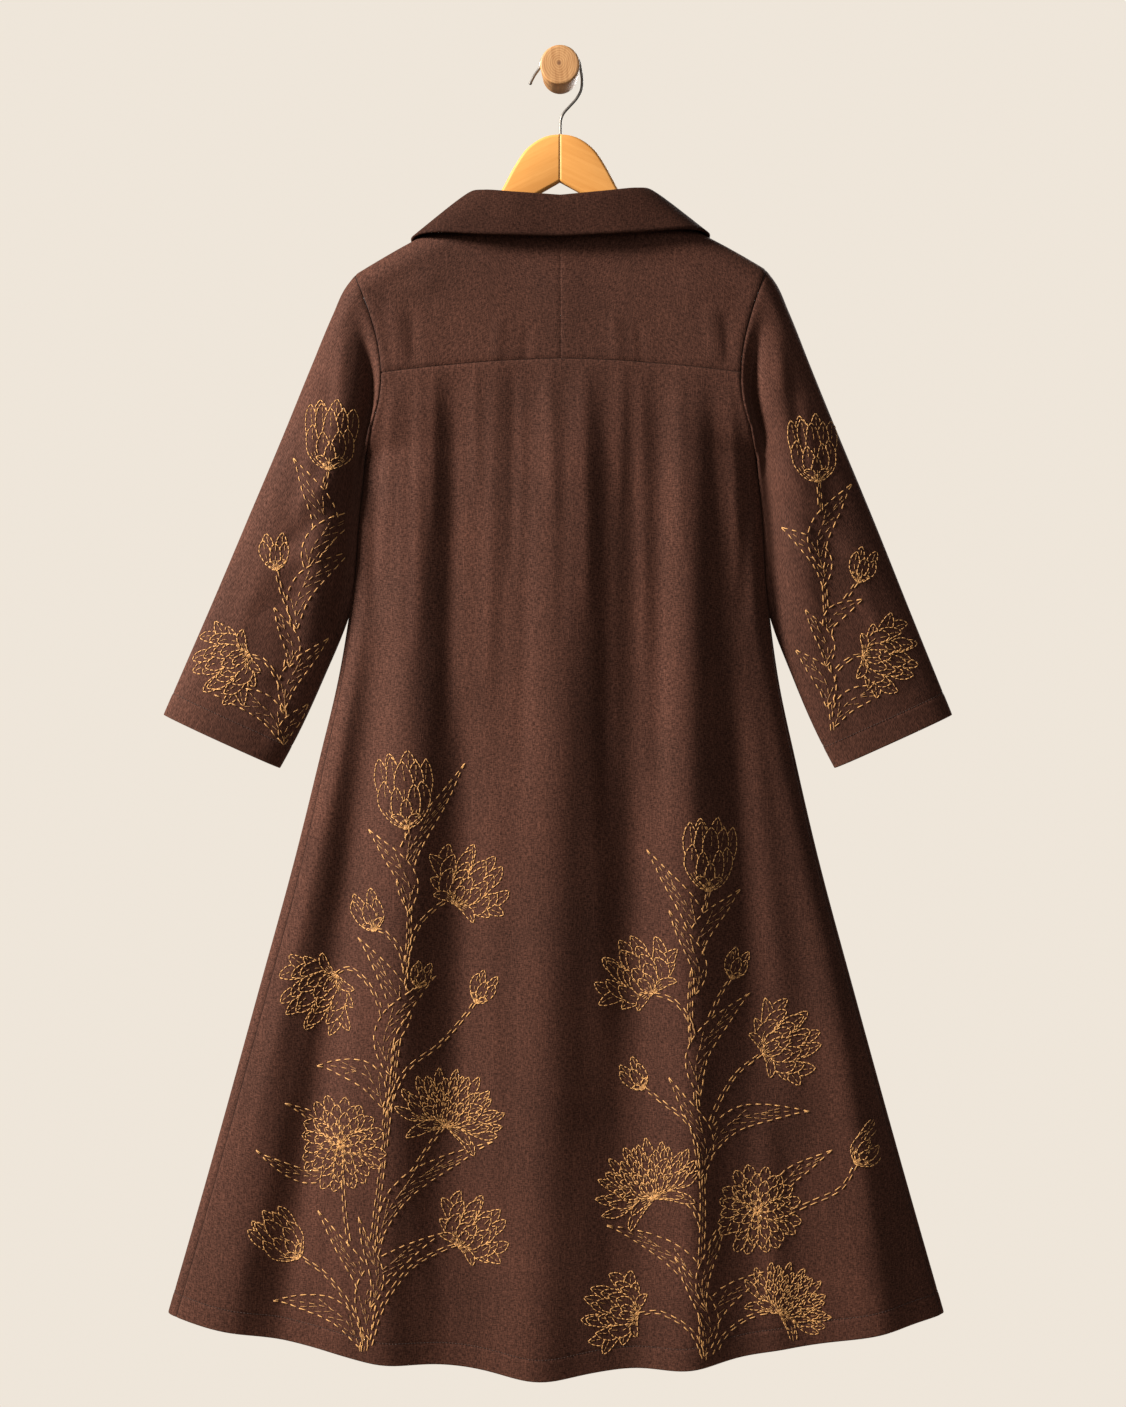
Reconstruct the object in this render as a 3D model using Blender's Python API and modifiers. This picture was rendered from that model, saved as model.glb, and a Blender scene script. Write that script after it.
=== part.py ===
"""A long A-line coat seen from its back, on a wooden hanger over a round wall peg.

The frame: the origin is the middle of the peg's back face, which lies on the wall at Y = 0.
X runs to the viewer's right, Z is up, and the coat hangs on the room's side of the wall, at Y < 0.
Tables are in millimetres. A drop is a distance below the peg's middle line.
Each cloth piece is a sheet worked out on a grid and given its thickness with Solidify.
"""
import math

import bmesh
import bpy
import numpy as np

MM = 0.001

# Driving sizes, in millimetres
CLOTH = 2.0
SEAM_GAP = 0.4
EDGE_GAP = 0.8
SEAM_STRIP = 2.5
HANG_Y = -33.0
RIDGE_ROUND = 26.0
RIDGE_BOW = 4.0
TILT = 2.0
NECK_HALF = 80.0
NECK_SIDE_DROP = 142.0
BACK_NECK_DROP = 160.0
FRONT_NECK_DROP = 226.0
SHOULDER_HALF = 207.0
SHOULDER_DROP = 206.0
UNDERARM_DROP = 391.0
ARMHOLE_ROUND = 60.0
YOKE_EDGE_DROP = 309.0
YOKE_RISE = 14.0
HEM_EDGE_DROP = 1254.0
HEM_SWEEP = 53.0
HEM_FOLD_DIP = 0.45
LEFT_SEAM_INSET = 9.0
RIGHT_SEAM_INSET = 3.0
FRONT_SWEEP = 47.0

PEG_FRONT_RADIUS = 20.0
PEG_BACK_RADIUS = 17.5
PEG_LENGTH = 55.0
WIRE_RADIUS = 1.4
WOOD_THICKNESS = 12.0
WOOD_ROUND = 4.5
WOOD_TOP_DROP = 66.0
SHANK_DEPTH = 22.0
SHANK_CLEARANCE = 0.3

# Rows of the upper body, by the drop of their ends on the armhole seam
ARM_DROPS = (206, 207, 210, 216, 226, 240, 256, 274, 292, 309, 328, 347, 366, 380, 388, 391)
SKIRT_ROWS = 14

# The coat's middle line leans a little: drop, middle
LEAN = ((140, 0.5), (460, 0.5), (680, -2.5), (1254, -4.0))

# The body's side line below the underarm: drop, half_width, back_depth, front_depth, corner
BODY = (
    (120, 190, 17, 15, 2.4),
    (206, 192, 20, 15, 2.4),
    (309, 196, 24.5, 16, 2.6),
    (391, 197, 27, 17, 2.6),
    (455, 203, 28.5, 17, 2.6),
    (540, 210, 30, 18, 2.6),
    (615, 221, 31, 18, 2.7),
    (700, 240, 32, 18, 2.8),
    (788, 261, 33, 19, 2.9),
    (940, 302, 35, 19, 3.0),
    (1121, 352, 37, 20, 3.2),
    (1254, 390, 38, 20, 3.2),
    (1330, 412, 38, 20, 3.2),
)

# The armhole seam from the shoulder tip to the underarm: drop, half_width
ARMHOLE = ((206, 207), (246, 192), (286, 182), (306, 180), (336, 182), (366, 190), (391, 196))

# Long folds that stand out toward the viewer:
# x at the yoke seam, x at the hem, height there and at the hem, half width there and at the hem
BACK_FOLDS = (
    (-205, -352, 0, 9, 25, 38),
    (-140, -176, 4, 15, 26, 42),
    (6, -18, 5, 18, 44, 48),
    (138, 134, 4, 15, 26, 40),
    (215, 318, 2, 12, 26, 42),
)
FRONT_FOLDS = (
    (-150, -290, 2, 8, 24, 40),
    (-90, -120, 2, 9, 24, 42),
    (84, 105, 2, 9, 24, 44),
    (160, 275, 2, 8, 24, 40),
)

# The sleeve's two edges, mirrored for the other arm: drop, half_width
SLEEVE_OUTER = ((206, 207), (218, 216), (246, 229), (300, 251), (364, 277), (455, 315),
                (540, 350), (652, 397))
SLEEVE_INNER = ((391, 197), (455, 203), (540, 210), (615, 238), (677, 266), (705, 281))
# along the sleeve from 0 to 1: station, back_depth, front_depth
SLEEVE_DEPTH = ((0.0, 22, 15), (0.25, 26, 18), (0.6, 24, 18), (1.0, 20, 16))
SLEEVE_CORNER = 2.3
VALLEY_DEPTH = 11.0
VALLEY_FROM_SEAM = 15.0
VALLEY_HALF = 9.0
RIDGE_HEIGHT = 4.0
RIDGE_FROM_SEAM = 40.0
RIDGE_HALF = 14.0
UNDERARM_CLEARANCE = 2.6
SLEEVE_GAP = 0.5

# The collar, from the middle of the back (0) round the neck's side to the front end (1)
# Its fold line: station, x, y, drop
COLLAR_FOLD = (
    (0.00, 0, -53, 131.5),
    (0.18, 46, -52, 127.5),
    (0.32, 76, -46, 124.0),
    (0.45, 88, -33, 124.5),
    (0.52, 81, -24, 131.0),
    (0.60, 66, -17, 147.0),
    (0.78, 38, -14.5, 187.0),
    (1.00, 3, -14.5, 217.0),
)
# Its lower edge: station, x, y, drop
COLLAR_EDGE = (
    (0.00, 0, -68, 174.0),
    (0.18, 78, -67, 171.0),
    (0.32, 130, -58, 167.0),
    (0.45, 150, -35, 169.5),
    (0.52, 150, -24, 175.0),
    (0.60, 143, -14, 192.0),
    (0.78, 108, -12.0, 226.0),
    (1.00, 58, -12.0, 266.0),
)
COLLAR_SIDE = 0.45
COLLAR_ROLL = 6.0
COLLAR_REST = 2.8

# The hanger's outline for its right half: x, drop; its top, and its underside
WOOD_TOP = ((24, 73), (37, 85), (47, 100), (60, 124), (69, 137))
WOOD_UNDER_RIDGE = 2.1
NECK_CLEARANCE = 2.0
WOOD_ARM_END = 196.0
WOOD_NOTCH_DROP = 114.0
WOOD_UNDER = ((30, 131), (80, 163))
WOOD_END_HEIGHT = 15.0

# Grid sizes
BACK_COLUMNS = 38
FRONT_COLUMNS = 14
YOKE_COLUMNS = 11
SLEEVE_ROWS = 17
COLLAR_COLUMNS = 36
COLLAR_STAND_ROWS = 4
COLLAR_FALL_ROWS = 6

# Colours
CLOTH_BROWN = (0.075, 0.032, 0.021)
HANGER_WOOD = (0.72, 0.33, 0.09)
PEG_WOOD = (0.50, 0.26, 0.11)
STEEL = (0.35, 0.34, 0.33)


def clear_scene():
    """Remove whatever the open file holds."""
    for thing in list(bpy.data.objects):
        bpy.data.objects.remove(thing, do_unlink=True)


def smooth_table(rows, at, column):
    """Read one column of a table at the values `at`, on a smooth curve through its rows."""
    keys = np.array([row[0] for row in rows], float)
    values = np.array([row[column] for row in rows], float)
    steps = np.diff(keys)
    slopes = np.diff(values) / steps
    tangents = np.empty_like(values)
    tangents[0] = slopes[0]
    tangents[-1] = slopes[-1]
    tangents[1:-1] = (slopes[:-1] * steps[1:] + slopes[1:] * steps[:-1]) / (steps[:-1] + steps[1:])
    at = np.clip(np.asarray(at, float), keys[0], keys[-1])
    k = np.clip(np.searchsorted(keys, at, side="right") - 1, 0, len(steps) - 1)
    t = (at - keys[k]) / steps[k]
    h = steps[k]
    return ((2 * t**3 - 3 * t**2 + 1) * values[k] + (t**3 - 2 * t**2 + t) * h * tangents[k]
            + (-2 * t**3 + 3 * t**2) * values[k + 1] + (t**3 - t**2) * h * tangents[k + 1])


def ease(t):
    """Rise smoothly from 0 to 1."""
    t = np.clip(t, 0.0, 1.0)
    return t * t * (3 - 2 * t)


def round_over(t):
    """A quarter circle from 0, where it starts upright, to 1, where it ends level."""
    t = np.clip(t, 0.0, 1.0)
    return np.sqrt(1 - (1 - t) ** 2)


def shoulder_drop(x):
    """The drop of the shoulder ridge, carried on in a straight line over the neck."""
    slope = (SHOULDER_DROP - NECK_SIDE_DROP) / (SHOULDER_HALF - NECK_HALF)
    share = np.clip((np.abs(x) - NECK_HALF) / (SHOULDER_HALF - NECK_HALF), 0, 1)
    return NECK_SIDE_DROP + slope * (np.abs(x) - NECK_HALF) - RIDGE_BOW * np.sin(np.pi * share)


def back_top_drop(x):
    """The yoke's upper edge: the back neckline, then the shoulder ridge."""
    neck = BACK_NECK_DROP - (BACK_NECK_DROP - NECK_SIDE_DROP) * (np.abs(x) / NECK_HALF) ** 2.5
    return np.where(np.abs(x) < NECK_HALF, neck, shoulder_drop(x))


def front_top_drop(x):
    """A front's upper edge: the front neckline, then the shoulder ridge."""
    neck = FRONT_NECK_DROP - (FRONT_NECK_DROP - NECK_SIDE_DROP) * (np.abs(x) / NECK_HALF) ** 1.8
    return np.where(np.abs(x) < NECK_HALF, neck, shoulder_drop(x))


def body_half_width(drop):
    """Half the coat's width: the armhole seam above the underarm, the side line below it."""
    drop = np.asarray(drop, float)
    return np.where(drop < UNDERARM_DROP, smooth_table(ARMHOLE, drop, 1), smooth_table(BODY, drop, 1))


def side_openness(drop):
    """How deep the cloth's edge stands at the armhole: 0 at the underarm, 1 well above it."""
    return round_over((UNDERARM_DROP - np.asarray(drop, float)) / ARMHOLE_ROUND)


def fold_height(folds, x, drop):
    """The height of the long folds at a place: a soft round ridge for each row of the table."""
    run = np.clip((drop - YOKE_EDGE_DROP) / (HEM_EDGE_DROP - YOKE_EDGE_DROP), 0.0, 1.1)
    start = ease((drop - YOKE_EDGE_DROP + 10) / 120.0)
    total = np.zeros(np.broadcast(x, drop).shape)
    for x_top, x_hem, high_top, high_hem, half_top, half_hem in folds:
        middle = x_top + (x_hem - x_top) * run
        height = high_top + (high_hem - high_top) * run**1.3
        half = half_top + (half_hem - half_top) * run
        total = total + height * np.exp(-(((x - middle) / half) ** 2))
    return total * start


def cloth_y(x, drop, edge_drop, side):
    """The depth of the body's cloth: side is -1 for the back and 1 for the front."""
    column = 2 if side < 0 else 3
    depth = smooth_table(BODY, drop, column)
    corner = smooth_table(BODY, drop, 4)
    across = np.clip(np.abs(x) / body_half_width(edge_drop), 0.0, 1.0)
    open_edge = side_openness(edge_drop) ** corner
    profile = np.clip(1 - (1 - open_edge) * across**corner, 0.0, 1.0) ** (1 / corner)
    over_ridge = round_over((drop - shoulder_drop(x)) / RIDGE_ROUND)
    folds = BACK_FOLDS if side < 0 else FRONT_FOLDS
    lift = fold_height(folds, x, drop) - 4.0 * ease((drop - 400) / 600)
    fade = np.clip((1 - across) / 0.12, 0.0, 1.0) ** 0.5
    fade = np.where(edge_drop < UNDERARM_DROP, 1.0 - (1 - fade) * ease((drop - 330) / 60), fade)
    return HANG_Y + side * (depth * profile * over_ridge + lift * fade)


def lean(drop):
    """The middle line's place at a drop."""
    return smooth_table(LEAN, drop, 1)


def sweep(edge_drop, across, x, folds):
    """How far the rows bow: up at the yoke seam, down at the hem, with the hem's own waves."""
    run = ease((edge_drop - YOKE_EDGE_DROP) / (HEM_EDGE_DROP - YOKE_EDGE_DROP))
    bow = -YOKE_RISE * (1 - run) + HEM_SWEEP * run
    waves = HEM_FOLD_DIP * (fold_height(folds, x, edge_drop + 0 * x) - 6.0) * run**3
    return (bow + waves * np.clip((1 - np.abs(across)) / 0.06, 0, 1)) * (1 - np.abs(across) ** 1.7)


def tilted(x, drop):
    """The shoulders hang a little lower on the left: the drop with that tilt."""
    return drop - TILT * x / 150.0 * (1 - ease((drop - 180) / 150.0))


def place(x, y, drop):
    """Table sizes to a point in metres."""
    return np.stack([(x + lean(drop)) * MM, y * MM, -tilted(x, drop) * MM], axis=-1)


def along(path, shares):
    """Points of a dense path of rows (x, y, drop) at shares of its length."""
    steps = np.linalg.norm(np.diff(path, axis=0), axis=1)
    run = np.concatenate([[0.0], np.cumsum(steps)])
    at = np.interp(np.asarray(shares) * run[-1], run, np.arange(len(run)))
    return np.stack([np.interp(at, np.arange(len(run)), path[:, c]) for c in range(3)], axis=-1)


def trimmed(path, first, last):
    """A dense path with a length cut off its first and its last end."""
    length = np.linalg.norm(np.diff(path, axis=0), axis=1).sum()
    return along(path, np.linspace(first / length, 1 - last / length, len(path)))


def near_ends(path, shares, both):
    """Shares of a path with one more close to its last end, and to its first if both is set."""
    strip = SEAM_STRIP / np.linalg.norm(np.diff(path, axis=0), axis=1).sum()
    first = strip if both else 0.0
    inner = first + shares * (1 - strip - first)
    return np.concatenate([[0.0], inner, [1.0]]) if both else np.append(inner, 1.0)


def section(edge_drop, side, start, stop):
    """A dense row of the body's cloth between two places across it, as rows (x, y, drop).

    Across runs from -1 at the left edge to 1 at the right edge. Points crowd toward the edges.
    """
    bend = np.linspace(math.asin(start), math.asin(stop), 500)
    across = np.sin(bend)
    x = across * float(body_half_width(edge_drop))
    if side < 0:
        drop = edge_drop + sweep(edge_drop, across, x, BACK_FOLDS)
    else:
        share = (edge_drop - SHOULDER_DROP) / (HEM_EDGE_DROP - SHOULDER_DROP)
        top = front_top_drop(across * SHOULDER_HALF) - SHOULDER_DROP
        bow = FRONT_SWEEP * (1 - np.abs(across) ** 1.7)
        drop = edge_drop + top * (1 - share) ** 3 + bow * share**2
    return np.stack([x, cloth_y(x, drop, edge_drop, side), drop], axis=-1)


def seam_across(edge_drop, inset):
    """How far across the back a side seam lies: at the very edge at the underarm, inset below."""
    grown = inset * float(ease((edge_drop - UNDERARM_DROP) / 500.0))
    return 1 - grown / float(body_half_width(edge_drop))


def skirt_drops():
    """The edge drops of the rows below the underarm."""
    step = (HEM_EDGE_DROP - UNDERARM_DROP) / SKIRT_ROWS
    return [UNDERARM_DROP + step * k for k in range(1, SKIRT_ROWS + 1)]


def back_grid():
    """The back panel from the yoke seam to the hem, a row from side seam to side seam."""
    even = np.linspace(0, 1, BACK_COLUMNS + 1)
    shares = even - 0.5 * np.sin(2 * np.pi * even) / (2 * np.pi)
    upper = [drop for drop in ARM_DROPS if drop > YOKE_EDGE_DROP]
    rows = []
    for edge_drop in [YOKE_EDGE_DROP + SEAM_GAP / 2] + upper + skirt_drops():
        left = -seam_across(edge_drop, LEFT_SEAM_INSET)
        right = seam_across(edge_drop, RIGHT_SEAM_INSET)
        path = section(edge_drop, -1, left, right)
        if edge_drop >= UNDERARM_DROP:
            path = trimmed(path, EDGE_GAP / 2, EDGE_GAP / 2)
        rows.append(place(*along(path, near_ends(path, shares, True)).T))
    return np.array(rows)


def front_grid(hand):
    """A front from the neckline and ridge to the hem. hand is -1 for left, 1 for right.

    A row runs from the middle to the armhole, and below the underarm on round the side's edge
    to the side seam.
    """
    inset = LEFT_SEAM_INSET if hand < 0 else RIGHT_SEAM_INSET
    rows = []
    for edge_drop in list(ARM_DROPS) + skirt_drops():
        path = section(edge_drop, 1, 0.0, 1.0) if hand > 0 else section(edge_drop, 1, 0.0, -1.0)
        end = seam_across(edge_drop, inset)
        if end < 1:
            wrap = section(edge_drop, -1, end, 1.0)[::-1] if hand > 0 else (
                section(edge_drop, -1, -1.0, -end))
            path = np.concatenate([path, wrap[1:]])
        path = trimmed(path, SEAM_GAP / 2, EDGE_GAP / 2 if edge_drop >= UNDERARM_DROP else 0.0)
        crowd = 1 + 0.6 * float(ease((edge_drop - SHOULDER_DROP) / 200.0))
        shares = 1 - (1 - np.linspace(0, 1, FRONT_COLUMNS + 1)) ** crowd
        points = along(path, near_ends(path, shares, False))
        if edge_drop == ARM_DROPS[0]:
            points[:, 1] = np.maximum(points[:, 1], HANG_Y + EDGE_GAP / 2)
        rows.append(place(*points.T))
    return np.array(rows)


def yoke_grid(hand):
    """Half of the yoke, from the middle seam to the armhole and from the top to the yoke seam."""
    drops = [float(drop) for drop in ARM_DROPS if drop <= YOKE_EDGE_DROP]
    drops[-1] -= SEAM_GAP / 2
    across = np.linspace(0, 1, YOKE_COLUMNS + 1)
    top = back_top_drop(across * SHOULDER_HALF)
    seam = drops[-1] - YOKE_RISE * (1 - across**1.7)
    rows = []
    for edge_drop in drops:
        share = (edge_drop - SHOULDER_DROP) / (drops[-1] - SHOULDER_DROP)
        x = across * float(body_half_width(edge_drop))
        x[0] = SEAM_GAP / 2
        drop = top + (seam - top) * share
        y = cloth_y(hand * x, drop, edge_drop, -1)
        if edge_drop == drops[0]:
            y = np.minimum(y, HANG_Y - EDGE_GAP / 2)
        rows.append(place(hand * x, y, drop))
    return np.array(rows)


def sleeve_edge(table, share):
    """A point at a share of the length of one sleeve edge: half width and drop."""
    keys = np.array([row[0] for row in table], float)
    dense = np.linspace(keys[0], keys[-1], 400)
    wide = smooth_table(table, dense, 1)
    run = np.concatenate([[0.0], np.cumsum(np.hypot(np.diff(wide), np.diff(dense)))])
    at = np.interp(share * run[-1], run, dense)
    return np.array([float(smooth_table(table, at, 1)), float(at)])


def sleeve_grid(hand):
    """A sleeve: rings from the armhole to the cuff, each ring round the arm.

    A ring starts at the outer edge, runs over the back to the inner edge and returns in front.
    """
    drops = np.array(ARM_DROPS, float)
    wide = smooth_table(ARMHOLE, drops, 1)
    run = np.concatenate([[0.0], np.cumsum(np.hypot(np.diff(wide), np.diff(drops)))])
    back_share = run / run[-1]
    count = len(drops)
    chords = np.concatenate([back_share, back_share[::-1][1:-1]])
    sides = np.concatenate([-np.ones(count), np.ones(count - 2)])
    seam_drop = np.concatenate([drops, drops[::-1][1:-1]])
    seam_x = np.concatenate([wide, wide[::-1][1:-1]])
    seam_y = np.where(sides < 0, cloth_y(hand * seam_x, seam_drop, seam_drop, -1),
                      cloth_y(hand * seam_x, seam_drop, seam_drop, 1))
    seam_y[0] = HANG_Y
    seam_y[count - 1] = HANG_Y
    seam = np.stack([seam_x, seam_drop], axis=-1)
    bulge = seam - (seam[0] + chords[:, None] * (seam[count - 1] - seam[0]))
    profile = np.clip(1 - np.abs(2 * chords - 1) ** SLEEVE_CORNER, 0, 1) ** (1 / SLEEVE_CORNER)
    rings = []
    for k in range(SLEEVE_ROWS + 1):
        v = (k / SLEEVE_ROWS) ** 1.12
        outer = sleeve_edge(SLEEVE_OUTER, v)
        inner = sleeve_edge(SLEEVE_INNER, v)
        point = outer + chords[:, None] * (inner - outer) + bulge * max(1 - v / 0.55, 0.0) ** 2
        x = point[:, 0]
        drop = point[:, 1]
        back = smooth_table(SLEEVE_DEPTH, v, 1)
        front = smooth_table(SLEEVE_DEPTH, v, 2)
        own_y = HANG_Y + np.where(sides < 0, -back, front) * profile
        y = seam_y + (own_y - seam_y) * float(ease(v / 0.22))
        body_edge = body_half_width(np.clip(drop, SHOULDER_DROP, 900))
        away = x - body_edge
        reach = ease((drop - 235) / 90) * (1 - ease((drop - 520) / 120)) * ease(v / 0.05)
        valley = VALLEY_DEPTH * np.exp(-(((away - VALLEY_FROM_SEAM) / VALLEY_HALF) ** 2))
        ridge = RIDGE_HEIGHT * np.exp(-(((away - RIDGE_FROM_SEAM) / RIDGE_HALF) ** 2))
        y = y + np.where(sides < 0, (valley - ridge) * reach * profile, 0.0)
        below = ease((drop - UNDERARM_DROP + 30) / 30)
        clear = SLEEVE_GAP + (UNDERARM_CLEARANCE - SLEEVE_GAP) * below
        x = np.where(drop < 600, np.maximum(x, body_edge + clear), x)
        x = x + SLEEVE_GAP * float(1 - ease(v / 0.4)) * (x < body_edge + 3)
        drop = drop + SLEEVE_GAP * (1 - chords) * (1 - v)
        rings.append(place(hand * x, y, drop))
    return np.array(rings)


def neckline(station):
    """The neckline seam at a collar station: x, y and drop."""
    if station <= COLLAR_SIDE:
        x = NECK_HALF * math.sin(math.pi / 2 * station / COLLAR_SIDE)
        drop = float(back_top_drop(min(x, NECK_HALF - 0.01)))
        return np.array([x, float(cloth_y(x, drop, SHOULDER_DROP, -1)), drop])
    x = NECK_HALF * math.cos(math.pi / 2 * (station - COLLAR_SIDE) / (1 - COLLAR_SIDE))
    drop = float(front_top_drop(min(x, NECK_HALF - 0.01)))
    return np.array([x, float(cloth_y(x, drop, SHOULDER_DROP, 1)), drop])


def collar_base(station):
    """The collar's seam edge: just off the neckline, toward the neck's opening."""
    base = neckline(station)
    step = 0.002
    run = neckline(min(station + step, 1.0)) - neckline(max(station - step, 0.0))
    away = np.array([-abs(run[2]), 0.0, -abs(run[0])]) / math.hypot(run[0], run[2])
    at_side = math.exp(-(((station - COLLAR_SIDE) / 0.1) ** 2))
    gap = EDGE_GAP * (1 + 0.8 * float(ease((station - 0.7) / 0.2)))
    base = base + away * gap * (1 - at_side) + np.array([-1.0, 0.0, -2.0]) * at_side
    base[0] = max(base[0], 0.0 if station < COLLAR_SIDE else EDGE_GAP)
    return base


def rest_on_body(point):
    """Move a point of the collar's fall outward until it lies clear of the body's cloth."""
    x, y, drop = point
    side = -1 if y < HANG_Y else 1
    below = drop - float(shoulder_drop(x)) + COLLAR_REST + 0.6
    if below <= 0:
        return point
    cloth = abs(float(cloth_y(x, drop + COLLAR_REST + 0.6, SHOULDER_DROP, side)) - HANG_Y)
    least = cloth + COLLAR_REST * float(round_over(below / 5.0))
    return np.array([x, HANG_Y + side * max(side * (y - HANG_Y), least), drop])


def curve_point(a, b, c, d, t):
    """A point of the cubic curve from a to d with the handles b and c."""
    return (1 - t)**3 * a + 3 * (1 - t)**2 * t * b + 3 * (1 - t) * t**2 * c + t**3 * d


def collar_section(station, hand):
    """The collar's section at a station: up its stand, over the fold and down to its edge."""
    base = collar_base(station)
    fold = np.array([float(smooth_table(COLLAR_FOLD, station, c)) for c in (1, 2, 3)])
    edge = np.array([float(smooth_table(COLLAR_EDGE, station, c)) for c in (1, 2, 3)])
    if station < COLLAR_SIDE:
        turn = math.pi / 2 * float(ease(station / COLLAR_SIDE))
    else:
        turn = math.pi / 2 * (1 + float(ease((station - COLLAR_SIDE) / 0.15)))
    outward = np.array([math.sin(turn), -math.cos(turn), 0.0])
    roll = COLLAR_ROLL * (1 - 0.45 * float(ease((station - COLLAR_SIDE) / 0.2)))
    path = []
    for k in range(COLLAR_STAND_ROWS + 1):
        t = 1 - (1 - k / COLLAR_STAND_ROWS) ** 1.5
        path.append(curve_point(base, base + 0.5 * (fold - base), fold - roll * outward, fold, t))
    low = edge + 0.45 * (fold - edge) + 2 * outward
    for k in range(1, COLLAR_FALL_ROWS + 1):
        t = (k / COLLAR_FALL_ROWS) ** 1.5
        path.append(rest_on_body(curve_point(fold, fold + roll * outward, low, edge, t)))
    path = np.array(path)
    return place(hand * path[:, 0], path[:, 1], path[:, 2])


def collar_grid():
    """The whole collar, from its left front end round the back to its right front end."""
    stations = np.linspace(-1, 1, COLLAR_COLUMNS + 1)
    return np.array([collar_section(abs(s), -1 if s < 0 else 1) for s in stations])


def sheet(name, grid, material, closed=False, flip=False):
    """A cloth piece: the grid as an open surface, made CLOTH thick with Solidify."""
    rows, columns = grid.shape[:2]
    index = np.arange(rows * columns).reshape(rows, columns)
    across = np.concatenate([index, index[:, :1]], axis=1) if closed else index
    faces = np.stack([across[:-1, :-1], across[:-1, 1:], across[1:, 1:], across[1:, :-1]], axis=-1)
    faces = faces.reshape(-1, 4)
    if flip:
        faces = faces[:, ::-1]
    mesh = bpy.data.meshes.new(name)
    mesh.from_pydata(grid.reshape(-1, 3).tolist(), [], faces.tolist())
    mesh.materials.append(material)
    mesh.shade_smooth()
    piece = bpy.data.objects.new(name, mesh)
    wall = piece.modifiers.new("wall", "SOLIDIFY")
    wall.thickness = CLOTH * MM
    wall.offset = 0.0
    wall.use_even_offset = True
    wall.use_quality_normals = True
    return piece


def make_material(name, colour, roughness, metallic=0.0):
    """A plain Principled material."""
    material = bpy.data.materials.new(name)
    material.use_nodes = True
    shader = material.node_tree.nodes["Principled BSDF"]
    shader.inputs["Base Color"].default_value = (*colour, 1.0)
    shader.inputs["Roughness"].default_value = roughness
    shader.inputs["Metallic"].default_value = metallic
    return material


def hanger_outline(hand):
    """One half of the hanger seen from the front: x and drop, round from the top middle."""
    middle = SEAM_GAP / 2
    top = [(middle, WOOD_TOP_DROP), (12, WOOD_TOP_DROP + 2.0)] + list(WOOD_TOP)
    for k in range(7):
        x = NECK_HALF + (WOOD_ARM_END - NECK_HALF) * k / 6
        under_cloth = WOOD_UNDER_RIDGE + NECK_CLEARANCE * (1 - k / 6) ** 4
        top.append((x, float(tilted(hand * x, shoulder_drop(x))) + under_cloth))
    end_x, end_drop = top[-1]
    under = [(end_x + 2.5, end_drop + 6), (end_x, end_drop + WOOD_END_HEIGHT - 2)]
    for k in range(1, 4):
        x = end_x - (end_x - WOOD_UNDER[1][0]) * k / 4
        drop = end_drop + WOOD_END_HEIGHT + (WOOD_UNDER[1][1] - end_drop - WOOD_END_HEIGHT) * k / 4
        under.append((x, drop + 2))
    under += [WOOD_UNDER[1], WOOD_UNDER[0], (middle, WOOD_NOTCH_DROP)]
    return [(hand * x, drop) for x, drop in top + under]


def hanger_half(name, hand, material):
    """A flat board of the hanger's outline with rounded edges."""
    outline = hanger_outline(hand)
    curve = bpy.data.curves.new(name, "CURVE")
    curve.dimensions = "2D"
    curve.fill_mode = "BOTH"
    curve.extrude = WOOD_THICKNESS / 2 * MM
    line = curve.splines.new("POLY")
    line.points.add(len(outline) - 1)
    for point, (x, drop) in zip(line.points, outline):
        point.co = (x * MM, -drop * MM, 0.0, 1.0)
    line.use_cyclic_u = True
    curve.materials.append(material)
    board = bpy.data.objects.new(name + "_outline", curve)
    board.rotation_euler = (math.pi / 2, 0.0, 0.0)
    board.location = (0.0, HANG_Y * MM, 0.0)
    return board


def as_mesh(thing, name, collection):
    """A curve object made a mesh object of its own, with its caps welded."""
    bpy.context.scene.collection.objects.link(thing)
    bpy.context.view_layer.update()
    ready = thing.evaluated_get(bpy.context.evaluated_depsgraph_get())
    mesh = bpy.data.meshes.new_from_object(ready)
    mesh.transform(thing.matrix_world)
    work = bmesh.new()
    work.from_mesh(mesh)
    bmesh.ops.remove_doubles(work, verts=work.verts, dist=1e-6)
    bmesh.ops.dissolve_limit(work, angle_limit=0.002, verts=work.verts, edges=work.edges)
    bmesh.ops.recalc_face_normals(work, faces=work.faces)
    work.to_mesh(mesh)
    work.free()
    bpy.data.objects.remove(thing, do_unlink=True)
    piece = bpy.data.objects.new(name, mesh)
    collection.objects.link(piece)
    return piece


def hook_path():
    """The hook's middle line: the turned tip, over the peg, round its bowl and down to the wood."""
    at_hook = PEG_BACK_RADIUS + (PEG_FRONT_RADIUS - PEG_BACK_RADIUS) * -HANG_Y / PEG_LENGTH
    bow = at_hook + WIRE_RADIUS + SEAM_GAP
    path = [(-30.5, -15.5), (-28.5, -11.0), (-25.5, -5.5)]
    for k in range(11):
        angle = math.radians(176 - 176 * k / 10)
        path.append((bow * math.cos(angle), bow * math.sin(angle)))
    path += [(21.8, -6.0), (22.2, -12.0), (21.2, -21.0), (16.6, -29.5), (10.0, -37.0),
             (4.2, -43.5), (1.4, -49.0), (0.5, -55.0)]
    path.append((0.5, -WOOD_TOP_DROP - SHANK_DEPTH))
    return path


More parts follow.
